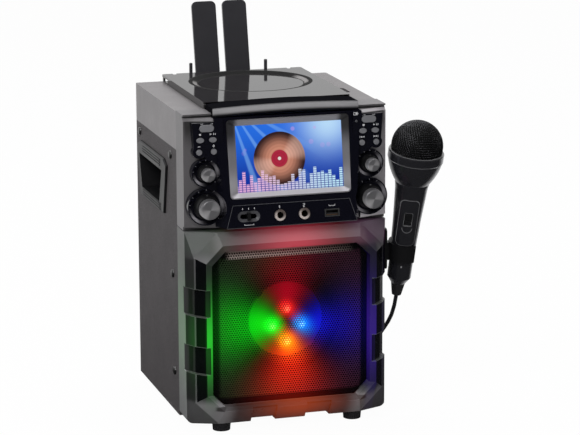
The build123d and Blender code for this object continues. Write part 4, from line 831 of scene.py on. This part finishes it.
def screen_trim():
    """Bevelled trim round the screen, with painted shade: dark in its upper corners, paler towards its
    foot.
    """
    material, tree, shader = finish("screen_trim", Roughness=0.3)
    _, x, _, z = place_axes(tree)
    surface = use(tree, GRAIN, Grain=4)
    # painted shade by the way each face turns, darker in the upper corners and paler near the foot
    facing = use(tree, FACING, Front=0.45, Up=4, Down=2.2, Left=0, Right=0.35)["Value"]
    at_side = ramp(abs(x), 49, 56)
    rise = z - PANEL_AT.z
    upper = at_side * ramp(rise, 4, 27)
    lower = at_side * hump(rise, -24, 11)
    fade = 1 - 0.85 * upper
    fade = lower * 0.8 + fade
    amount = facing * fade * (surface["Sheen"] * 0.12 + 0.94)
    feed(shader, Base_Color=scaled((0.17, 0.165, 0.175), amount), Normal=surface["Normal"])
    return material


def panel_gloss():
    """Black gloss of the control panel, with painted gray gleams on the walls of the knob dishes."""
    material, tree, shader = finish("panel_gloss", Roughness=0.07, Specular_IOR_Level=0.3)
    place, x, _, z = place_axes(tree)
    side = abs(x)
    gleams = []
    # painted highlights on each dish's wall, strongest at its lower left
    for (at_x, at_z), inner, outer in ((BIG_KNOB, 14.4, 17.8), (SMALL_KNOB, 10, 13.3)):
        off_x = (side - at_x) * math_of("SIGN", x)
        off_z = z - at_z
        reach = reach_of(off_x, off_z)
        wall = between(reach, inner, inner + 0.8, outer, outer - 0.8)
        way = math_of("ARCTAN2", off_z, off_x)
        parts = hump(way, 0.3, 0.5) * 0.5 + hump(way, -2.35, 0.42)
        gleams.append(wall * parts)
    feed(shader, Base_Color=blend(gleams[0] + gleams[1], (0.004, 0.004, 0.008), (0.5, 0.48, 0.52)))
    marks = use(tree, MARKS, Amount=0.6)
    feed(shader, Roughness=marks["Dust"] * 0.1 + 0.07, Normal=bumped(noise(place, 0.05, 1), 0.00006))
    return material


def turned_cap():
    """Turned face of a knob cap, with the two fans of light a lathe finish shows, painted on as
    highlights.
    """
    material, tree, shader = finish("turned_cap", Metallic=0.35)
    _, x, _, z = place_axes(tree)
    side = abs(x)
    off_x = (side - BIG_KNOB[0]) * math_of("SIGN", x)
    middle = (z > 246) * (SMALL_KNOB[1] - BIG_KNOB[1]) + BIG_KNOB[1]
    off_z = z - middle
    reach = reach_of(off_x, off_z)
    way = math_of("ARCTAN2", off_z, off_x)
    # painted highlight: two fans of light, stronger on the lower side
    fan = math_of("SINE", way * 2 + 0.5)
    low = ramp(off_z, 6, -10)
    gleam = ramp(fan, -0.3, 1) * (low * 0.7 + 0.3)
    lathe = math_of("SINE", reach * 9) * 0.5 + 0.5
    amount = gleam + lathe * 0.12
    feed(
        shader, Base_Color=blend(amount, (0.13, 0.128, 0.135), (0.5, 0.49, 0.5)),
        Roughness=lathe * 0.06 + 0.32, Normal=bumped(lathe, 0.00003),
    )
    return material


def plate_line(across, along, half_wide, half_long, corner, thick):
    """Mask of a thin line along a rounded rectangle."""
    wide, long = abs(across) - (half_wide - corner), abs(along) - (half_long - corner)
    away = reach_of(larger(wide, 0), larger(long, 0))
    inward = math_of("MINIMUM", larger(wide, long), 0)
    off = abs(away + inward - corner)
    return ramp(off, thick, 0.4 * thick)


def mic_lacquer():
    """Black lacquer with painted highlights at its outline and round the collar, and the fine lines of the
    switch plate.
    """
    material, tree, shader = finish("microphone_lacquer", Specular_IOR_Level=0.5)
    place, *_ = place_axes(tree)
    marks = use(tree, MARKS, Amount=0.6)
    front = Vector((-0.27, -0.963, 0))
    front = (front - MIC_AXIS * front.dot(MIC_AXIS)).normalized()
    sideways = MIC_AXIS.cross(front)
    along = dot_along(place, MIC_AXIS, MIC_END)
    across = dot_along(place, sideways, MIC_END)
    outward = dot_along(place, front, MIC_END)
    near = ramp(outward, 4, 6)
    plate = plate_line(across, along - 85, 9.5, 25, 5, 0.42)
    slide = plate_line(across, along - 89, 4.1, 7.2, 0.8, 0.4)
    lower = along - 79.5
    bow = reach_of(across, lower)
    arc = ramp(abs(bow - 5), 0.5, 0.2) * ramp(lower, 0.5, -0.5)
    lines = larger(plate, slide, arc) * near * 0.13
    spot = ramp(abs(across), 0.9, 0.5) * hump(along, 36, 0.7) * near * 0.5
    # painted highlights: pale at the outline, and a thin ring at the collar
    rim = ramp(field(tree, "LayerWeight", {"Blend": 0.5}, "Facing"), 0.5, 0.85) * 0.8
    ring = hump(along, 149.4, 0.5) * 0.12
    amount = larger(lines, rim, spot, ring)
    feed(
        shader, Base_Color=blend(amount, (0.013, 0.013, 0.016), (0.85, 0.85, 0.87)),
        Roughness=marks["Dust"] * 0.1 + 0.18,
    )
    return material


# ---- dressing the carried-over solids
CAP = turned_cap()
DRESS = {
    BODY_VINYL: ("cabinet",),
    HOUSING: ("top_housing",),
    FRONT: ("front_frame",),
    FRAME: ("speaker_bezel",),
    visor_painted_gloss(): ("visor",),
    DARK: ("tablet_bracket", "tablet_backrest", "tablet_pegs"),
    FOOT: ("feet",),
    BLACK: (
        "handle_cup_left", "handle_cup_right", "disc_deck", "disc_spindle", "mic_holder",
        "selector_switch", "rear_panel", "power_switch", "mic_switch",
    ),
    panel_gloss(): ("fascia",),
    GUARD: ("side_guards",),
    LID: ("lid",),
    screen_trim(): ("screen_bezel",),
    KEYS: tuple(name for name in nodes if "_key_" in name),
    RUBBER: ("mic_boot",),
    SCREWS: ("cabinet_screws",),
    STEEL: ("speaker_magnet", "spindle_motor", "laser_sled", "potentiometers"),
    CHROME: ("mic_jacks",),
    SHELL: ("usb_port",),
    mic_lacquer(): ("mic_handle", "mic_collar"),
    BACKING: ("speaker_baffle", "speaker_surround"),
    CONE: ("speaker_cone", "speaker_frame"),
    COVER: ("light_unit",),
    DOMES: ("led_domes",),
    WRAP: ("battery_pack",),
    BOARD_GREEN: ("main_board",),
    screen_picture(): ("lcd_panel",),
}


def dress(node, material):
    solid = nodes[node]
    if not solid.material_slots:
        solid.data.materials.append(material)
    for place in solid.material_slots:
        place.link = "OBJECT"
        place.material = material


for material, names in DRESS.items():
    for name in names:
        dress(name, material)


# ---- mesh helpers
def join_rings(bm, rings, slots):
    """Faces between neighbouring rings; a ring of one point closes the end."""
    for lower, upper, slot in zip(rings, rings[1:], slots):
        count = max(len(lower), len(upper))
        for i in range(count):
            j = (i + 1) % count
            corners = [lower[k % len(lower)] for k in (i, j)] + [upper[k % len(upper)] for k in (j, i)]
            corners = [c for k, c in enumerate(corners) if c not in corners[:k]]
            if len(corners) > 2:
                bm.faces.new(corners).material_index = slot


def turned(bm, profile, at, axis, steps=64, flute=None):
    """Revolve (radius, height) points, in millimetres, about an axis; a third number picks the finish."""
    axis = axis.normalized()
    across = axis.orthogonal().normalized()
    other = axis.cross(across)
    rings = []
    for radius, height, *_ in profile:
        centre = at + axis * height
        if radius == 0:
            rings.append([bm.verts.new(centre * MM)])
            continue
        ring = []
        for i in range(steps):
            angle = 2 * pi * i / steps
            reach = radius + (flute(angle, height) if flute else 0)
            way = across * cos(angle) + other * sin(angle)
            ring.append(bm.verts.new((centre + way * reach) * MM))
        rings.append(ring)
    join_rings(bm, rings, [point[2] if len(point) > 2 else 0 for point in profile])


def prism(bm, corners, to_space, thick, slot=0):
    """Thin plate: 2-D corners placed by to_space(u, v, out)."""
    low = [bm.verts.new(to_space(u, v, -0.05) * MM) for u, v in corners]
    high = [bm.verts.new(to_space(u, v, thick) * MM) for u, v in corners]
    join_rings(bm, [low, high], [slot])
    bm.faces.new(high).material_index = slot
    bm.faces.new(low).material_index = slot


def piece_from(name, bm, body, finishes, replaced=(), crease=35):
    """Turn a bmesh into a piece that rides on a body."""
    bmesh.ops.recalc_face_normals(bm, faces=bm.faces)
    mesh = bpy.data.meshes.new(name)
    bm.to_mesh(mesh)
    bm.free()
    for material in finishes:
        mesh.materials.append(material)
    for polygon in mesh.polygons:
        polygon.use_smooth = True
    mesh.set_sharp_from_angle(angle=radians(crease))
    piece = placed(name, mesh)
    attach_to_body(piece, body)
    if replaced:
        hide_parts(*replaced)
    return piece


def on_plateau(u, v, out):
    return Vector((u, PLATEAU_Y - out, v))


def on_panel(u, v, out):
    return PANEL_AT + RIGHT * u + PANEL_UP * v + PANEL_OUT * out


def box_corners(u, v, wide, tall, turn=0):
    c, s = cos(turn), sin(turn)
    half = ((-wide / 2, -tall / 2), (wide / 2, -tall / 2), (wide / 2, tall / 2), (-wide / 2, tall / 2))
    return [(u + a * c - b * s, v + a * s + b * c) for a, b in half]


def round_corners(u, v, radius, sides=16):
    return [
        (u + radius * cos(2 * pi * i / sides), v + radius * sin(2 * pi * i / sides))
        for i in range(sides)
    ]


# ---- knobs
def add_knob(node, x, z, cap_r, skirt_r, reach):
    base = Vector((x, PLATEAU_Y + 2.6, z))
    split = reach * 0.56

    def flute(angle, height):
        on_side = split + 0.6 < height < reach - 1
        return 0.16 * cos(30 * angle) if on_side else 0

    profile = [
        (0, 0), (skirt_r - 0.3, 0), (skirt_r, 0.3), (skirt_r - 0.1, 1.8),
        (skirt_r - 0.7, 2.6), (cap_r + 1, split - 0.6), (cap_r + 0.6, split),
    ]
    face = [
        (cap_r - 0.05, split + 0.1), (cap_r - 0.1, split + 0.7), (cap_r - 0.25, reach - 1.9),
        (cap_r - 0.5, reach - 1), (cap_r - 1, reach - 0.35), (cap_r - 1.8, reach),
        (cap_r - 2.6, reach - 0.1), (cap_r * 0.5, reach - 0.3), (0, reach - 0.35),
    ]
    profile += [(*point, 1) for point in face]
    bm = bmesh.new()
    turned(bm, profile, base, FORWARD, 120, flute)
    prism(
        bm, box_corners(0, skirt_r - 1.5, 0.7, 2),
        lambda u, v, out: base + RIGHT * u + UP * v + FORWARD * (split * 0.46 + out), 0.25, 2,
    )
    piece_from(node + "_turned", bm, node, [BLACK, CAP, WHITE_INK], [node])


for side, small, big in ((-1, "echo_knob", "mic_volume_knob"), (1, "balance_knob", "master_volume_knob")):
    add_knob(small, side * SMALL_KNOB[0], SMALL_KNOB[1], cap_r=6.8, skirt_r=8.6, reach=16)
    add_knob(big, side * BIG_KNOB[0], BIG_KNOB[1], cap_r=10, skirt_r=12.6, reach=19.5)


# ---- speaker grille
MOUTH_HALF, MOUTH_LOW, MOUTH_HIGH, MOUTH_LEG = 80.8, 27.8, 185, 13.5
PITCH, HOLE_R = 2.5, 1
BEVEL, RAISE, PLAIN_EDGE = 8, 4.6, 1.9
MESH_TALL, HALF_COLUMNS = 160, 34
SHEET_Y = -109


def inside_by(x, z):
    """Distance inwards from the edge of the grille's octagon."""
    mid = (MOUTH_LOW + MOUTH_HIGH) / 2
    half_tall = (MOUTH_HIGH - MOUTH_LOW) / 2
    across, along = MOUTH_HALF - abs(x), half_tall - abs(z - mid)
    return min(across, along, (across + along - MOUTH_LEG) / sqrt(2))


def on_grille(bm, x, z):
    rise = max(0, min(1, inside_by(x, z) / BEVEL))
    return bm.verts.new(Vector((x, SHEET_Y - RAISE * rise, z)) * MM)


def add_grille():
    bm = bmesh.new()
    corners = {}

    def corner(x, z):
        key = (round(x, 2), round(z, 2))
        if key not in corners:
            corners[key] = on_grille(bm, x, z)
        return corners[key]

    turns = [radians(60 * i + 30) for i in range(6)]
    cell_r = PITCH / sqrt(3)
    row_pitch = PITCH * sqrt(3) / 2
    for row in range(int(MESH_TALL / row_pitch)):
        z = MOUTH_LOW + row * PITCH * sqrt(3) / 2
        for column in range(-HALF_COLUMNS, HALF_COLUMNS + 1):
            x = (column + 0.5 * (row % 2)) * PITCH
            if inside_by(x, z) < PLAIN_EDGE:
                continue
            outer = [corner(x + cell_r * cos(a), z + cell_r * sin(a)) for a in turns]
            inner = [on_grille(bm, x + HOLE_R * cos(a), z + HOLE_R * sin(a)) for a in turns]
            for i in range(6):
                j = (i + 1) % 6
                bm.faces.new((outer[i], outer[j], inner[j], inner[i]))
    sheet = piece_from(
        "grille_sheet", bm, "base", [SHEET_BLACK], ["speaker_grille"], crease=50,
    )
    thick = sheet.modifiers.new("sheet thickness", "SOLIDIFY")
    thick.thickness = 0.5 * MM
    thick.offset = 0
    # plain edge that the sheet is held by
    rim = bmesh.new()
    rings = []
    for shrink, y in ((0, -99), (0, -109), (2.6, -110.5), (2.6, -109.7), (0.8, -108.6), (0.8, -99)):
        half, low, high = MOUTH_HALF - shrink, MOUTH_LOW + shrink, MOUTH_HIGH - shrink
        inner_half, inner_low, inner_high = half - MOUTH_LEG, low + MOUTH_LEG, high - MOUTH_LEG
        shape = (
            (half, inner_low), (half, inner_high), (inner_half, high), (-inner_half, high),
            (-half, inner_high), (-half, inner_low), (-inner_half, low), (inner_half, low),
        )
        rings.append([rim.verts.new(Vector((x, y, z)) * MM) for x, z in shape])
    rings.append(rings[0])
    join_rings(rim, rings, [0] * 6)
    piece_from("grille_edge", rim, "base", [SHEET_BLACK], crease=20)


add_grille()


# ---- printed marks and small fittings
INK = 0.12
LEVEL_FOOT, UPPER_ROW, LOWER_ROW = 311.2, 301.4, 289.6
SELECTOR_AT = (-44, -55.8)


def tick_ring(bm, x, z, radius, long):
    """Scale marks round a knob, from seven o'clock to five o'clock."""
    for i in range(11):
        angle = radians(225 - 27 * i)
        reach = radius + long / 2
        prism(
            bm, box_corners(x + reach * cos(angle), z + reach * sin(angle), long, 0.55, angle),
            on_plateau, INK, 2,
        )


def arrow(u, v, size, way):
    return [(u - way * size, v - size), (u + way * size, v), (u - way * size, v + size)]


def add_marks():
    bm = bmesh.new()
    for side in (-1, 1):
        tick_ring(bm, side * BIG_KNOB[0], BIG_KNOB[1], 16.2, 1.5)
        tick_ring(bm, side * SMALL_KNOB[0], SMALL_KNOB[1], 12.2, 1.2)

    def bars(to_space, *places):
        for u, v, wide, tall in places:
            prism(bm, box_corners(u, v, wide, tall), to_space, INK)

    # over the wide keys: small level steps, between the key and the panel's upper edge
    for start in (-88.6, -78.6, 76.6, 86.6):
        for step in range(3):
            tall = 0.35 + 0.25 * step
            bars(on_plateau, (start + step, LEVEL_FOOT + tall / 2, 0.6, tall))
    # over the upper pairs: a dot and a pair of arrows left, a square and a double arrow right
    prism(bm, round_corners(-89.2, UPPER_ROW, 1), on_plateau, INK)
    bars(on_plateau, (77.2, UPPER_ROW, 2, 2))
    for u, strokes in ((-78.4, (-75.6, -73.9)), (88.2, (90.6, 92))):
        prism(bm, arrow(u, UPPER_ROW, 1, 1), on_plateau, INK)
        bars(on_plateau, *((stroke, UPPER_ROW, 0.6, 2) for stroke in strokes))
    # over the lower pairs: minus and plus left, skip back and on right
    bars(
        on_plateau, (-90.3, LOWER_ROW, 2.4, 0.7), (-75.6, LOWER_ROW, 2.4, 0.7),
        (-75.6, LOWER_ROW + 1, 0.7, 0.9), (-75.6, LOWER_ROW - 1, 0.7, 0.9),
    )
    for centre, way in ((76, -1), (89.6, 1)):
        for shift in (-1.1, 1.2):
            prism(bm, arrow(centre + way * shift, LOWER_ROW, 1, way), on_plateau, INK)
        bars(on_plateau, (centre + way * 2.6, LOWER_ROW, 0.5, 2))
    # battery outline
    bars(
        on_plateau, (68.9, 314.4, 4.4, 0.5), (68.9, 312, 4.4, 0.5), (66.9, 313.2, 0.5, 2.4),
        (70.9, 313.2, 0.5, 2.4), (71.5, 313.2, 0.5, 1), (69.6, 313.2, 1.6, 1.6),
    )
    # socket numbers
    bars(
        on_panel, (-12.4, -48.3, 0.7, 2.8), (-12.9, -47.5, 0.7, 0.7),
        (12.4, -47, 1.9, 0.6), (13.1, -47.7, 0.6, 1.2), (12.4, -48.4, 1.9, 0.6),
        (11.7, -49, 0.6, 1.2), (12.4, -49.8, 1.9, 0.6),
    )
    # the selector's three places, and the bracket over the data port
    bars(
        on_panel, (-50, -48.2, 0.7, 1.6), (-44, -48.2, 0.7, 1.6), (-38, -48.2, 0.7, 1.6),
        (-44, -64.2, 9, 0.5), (-48.6, -63.8, 0.6, 1.3), (-39.4, -63.8, 0.6, 1.3),
        (41, -50.6, 6, 0.5), (44, -50.1, 0.5, 1.5), (38, -50.1, 0.5, 1.5),
    )
    # engraved outline round the strip
    outline = ((-59.5, -44.6), (59.5, -44.6), (66.5, -66.8), (14, -66.8), (-14, -66.8), (-66.5, -66.8))
    for (u0, v0), (u1, v1) in zip(outline, outline[1:] + outline[:1]):
        long, turn = hypot(u1 - u0, v1 - v0), atan2(v1 - v0, u1 - u0)
        prism(bm, box_corners((u0 + u1) / 2, (v0 + v1) / 2, long, 0.5, turn), on_panel, 0.15, 1)
    piece_from("panel_marks", bm, "base", [WHITE_INK, DARK_GRAY, TICK_INK])


def add_power_lamp():
    bm = bmesh.new()
    dome = [(0, 0), (1.3, 0), (1.3, 0.3), (0.9, 0.75), (0, 1)]
    turned(bm, dome, on_plateau(69.7, 305.8, -0.1), FORWARD, 24)
    piece_from("charge_lamp", bm, "base", [DARK_GRAY])


def add_sockets():
    """Dark sleeves and contacts inside the two microphone sockets, and the tongue of the data port."""
    bm = bmesh.new()
    sleeve = [(3.3, 1.2, 0), (3.12, 1, 0), (3.05, -12, 0), (2.3, -12.4, 1), (2.3, -16, 1), (0, -16, 0)]
    for u in (-JACK_AT[0], JACK_AT[0]):
        turned(bm, sleeve, on_panel(u, -56.5, 0), PANEL_OUT, 40)
    prism(bm, box_corners(41, -59.5, 11.6, 0.9), lambda u, v, out: on_panel(u, v, out - 0.9), 0.3, 1)
    piece_from("socket_linings", bm, "base", [BLACK, BRASS])


def slot_corners(u, v, long, wide, steps=12):
    """Outline of a slot with round ends."""
    radius, half = wide / 2, (long - wide) / 2
    corners = []
    for side in (1, -1):
        for i in range(steps + 1):
            angle = pi * (i / steps - 0.5)
            across = half + radius * cos(angle)
            corners.append((u + side * across, v + side * radius * sin(angle)))
    return corners


def add_selector_scoop():
    """Shallow bowl round the selector's slot, in a gray that paints the sheen on it."""
    bm = bmesh.new()
    rings = []
    for long, wide, out in ((22.7, 10.7, 0.12), (22.3, 10.3, -0.1), (18, 6.4, -1.1), (16.6, 4.8, -1.45)):
        corners = slot_corners(*SELECTOR_AT, long, wide)
        rings.append([bm.verts.new(on_panel(u, v, out) * MM) for u, v in corners])
    join_rings(bm, rings, [0, 0, 0])
    piece_from("selector_scoop", bm, "base", [DARK_GRAY])


def add_rear_rings():
    """Coloured collars of the two audio sockets, with the sleeve inside each."""
    bm = bmesh.new()
    for x, slot in ((10, 0), (24, 1)):
        at = Vector((x, 102, 112))
        collar = [(4.25, 0), (6.4, 0), (6.4, 1.2), (5.6, 1.7), (4.25, 1.7)]
        turned(bm, [(*point, slot) for point in collar], at, -FORWARD, 48)
        turned(bm, [(2.6, 4.4, 2), (1.2, 4.4, 2), (1.2, 0.4, 2)], at, -FORWARD, 24)
    piece_from("audio_socket_rings", bm, "base", [RED_PLASTIC, WHITE_PLASTIC, BLACK])


add_marks()
add_power_lamp()
add_sockets()
add_selector_scoop()
add_rear_rings()


# ---- microphone
BALL_MID, BALL_R, FOAM_R = MIC_END + MIC_AXIS * 163, 26, 24.6
BAND_AT = 147.5


def add_mic_mesh():
    """Woven wire ball over dark foam, cut off at its band."""
    bm = bmesh.new()
    bmesh.ops.create_cube(bm, size=2)
    bmesh.ops.subdivide_edges(bm, edges=bm.edges[:], cuts=16, use_grid_fill=True)
    turn = UP.rotation_difference(MIC_AXIS).to_matrix() @ Matrix.Rotation(radians(45), 3, "X")
    for vert in bm.verts:
        warped = Vector([tan(c * pi / 4) for c in vert.co])
        vert.co = (BALL_MID + turn @ warped.normalized() * (BALL_R - 0.55)) * MM
    low = [v for v in bm.verts if (v.co / MM - MIC_END).dot(MIC_AXIS) < BAND_AT]
    bmesh.ops.delete(bm, geom=low, context="VERTS")
    ball = piece_from("mic_mesh_ball", bm, "microphone", [WIRE], ["mic_grille"], 80)
    weave = ball.modifiers.new("wires", "WIREFRAME")
    weave.thickness = 0.8 * MM
    weave.use_even_offset = False
    weave.use_boundary = True
    inner = bmesh.new()
    angles = [radians(7.5 * i) for i in range(-11, 12)]
    profile = [(FOAM_R * cos(angle), FOAM_R * sin(angle)) for angle in angles]
    turned(inner, [(0, -FOAM_R), *profile, (0, FOAM_R)], BALL_MID, MIC_AXIS, 64)
    piece_from("mic_foam", inner, "microphone", [FOAM])


def add_mic_boot():
    """Rubber boot that widens from the cord to the handle."""
    bm = bmesh.new()
    taper = [(4.4, 1.4), (4.7, 0.9), (5.2, 3), (6.1, 8), (7, 13.2), (7, 14), (2, 14)]
    turned(bm, taper, MIC_END, MIC_AXIS, 64)
    piece_from("mic_boot_taper", bm, "microphone", [RUBBER], ["mic_boot"])


add_mic_mesh()
add_mic_boot()


# ---- microphone cord and plug
ROUTE = (
    MIC_END, MIC_END - MIC_AXIS * 20, Vector((113.5, -62, 77)), Vector((111, -26, 50)),
    Vector((110.5, 20, 29)), Vector((110.5, 64, 14)), Vector((110.5, 101, 8)), Vector((99, 118, 7)),
    Vector((80, 118, 7)),
)
PLUG_AT, TIP_R = Vector((18, 118, 7)), 3.175
COIL_MID = Vector((50, 141, 0))
CORD_D = 4
INNER, GAP, LIFT = 14.6, 4.2, 4.1
TURNS_A_LAYER, CLIMB = 3.75, 1 / 3
POINTS_A_TURN = 15


def coil_points():
    """Four layers wound inwards and outwards in turn, clockwise seen from above."""
    outer = INNER + GAP * TURNS_A_LAYER
    points = [Vector((69, 111.6, 4.2)), Vector((59.5, 109.6, 2.3))]
    steps = round((4 * TURNS_A_LAYER + 3 * CLIMB) * POINTS_A_TURN)
    for step in range(steps + 1):
        turn = step / POINTS_A_TURN
        layer, within = 0, turn
        while layer < 3 and within > TURNS_A_LAYER + CLIMB:
            within -= TURNS_A_LAYER + CLIMB
            layer += 1
        wound = min(within / TURNS_A_LAYER, 1)
        start, end = (INNER, outer) if layer % 2 else (outer, INNER)
        radius = start + (end - start) * wound
        climbed = max(0, within - TURNS_A_LAYER) / CLIMB if layer < 3 else 0
        height = CORD_D / 2 + 0.1 + LIFT * (layer + climbed)
        angle = radians(-90) - 2 * pi * turn
        points.append(COIL_MID + Vector((radius * cos(angle), radius * sin(angle), height)))
    down = ((40, 110.4, 14.4), (32, 112, 13.4), (26, 115.6, 9.6), (22, 118, 7))
    return points + [Vector(place) for place in down] + [PLUG_AT]


def add_plug():
    bm = bmesh.new()
    profile = []
    for slot, points in (
        (0, ((2.1, 0), (3.2, 0), (3.4, 4), (4.4, 12.3))),
        (1, ((6.4, 12.5), (7, 13.2), (7, 16), (6.6, 16.4), (6.6, 17.4), (7, 17.8), (7, 34), (6.2, 37))),
        (1, ((TIP_R, 37.2), (TIP_R, 44))),
        (0, ((TIP_R, 44.2), (TIP_R, 45.2))),
        (1, ((TIP_R, 45.4), (TIP_R, 60.2))),
        (0, ((TIP_R, 60.4), (TIP_R, 61.2))),
        (1, ((3.1, 61.4), (2.3, 63.6), (2.9, 66), (1.8, 69), (0, 69.9))),
    ):
        profile += [(*point, slot) for point in points]
    turned(bm, profile, PLUG_AT, -RIGHT, 56)
    return piece_from("mic_plug_turned", bm, "base", [RUBBER, CHROME], ["mic_plug"])


def add_cord():
    points = list(ROUTE) + coil_points()
    curve = bpy.data.curves.new("mic_cord_line", "CURVE")
    curve.dimensions = "3D"
    curve.bevel_depth = CORD_D / 2 * MM
    curve.bevel_resolution = 2
    curve.resolution_u = 3
    curve.use_fill_caps = True
    spline = curve.splines.new("NURBS")
    spline.points.add(len(points) - 1)
    for point, place in zip(spline.points, points):
        point.co = (*(place * MM), 1)
    spline.order_u = 3
    spline.use_endpoint_u = True
    curve.materials.append(JACKET)
    cord = placed("mic_cord_line", curve)
    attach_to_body(cord, "base")
    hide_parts("mic_cord", "mic_cord_coil")
    add_plug()


add_cord()
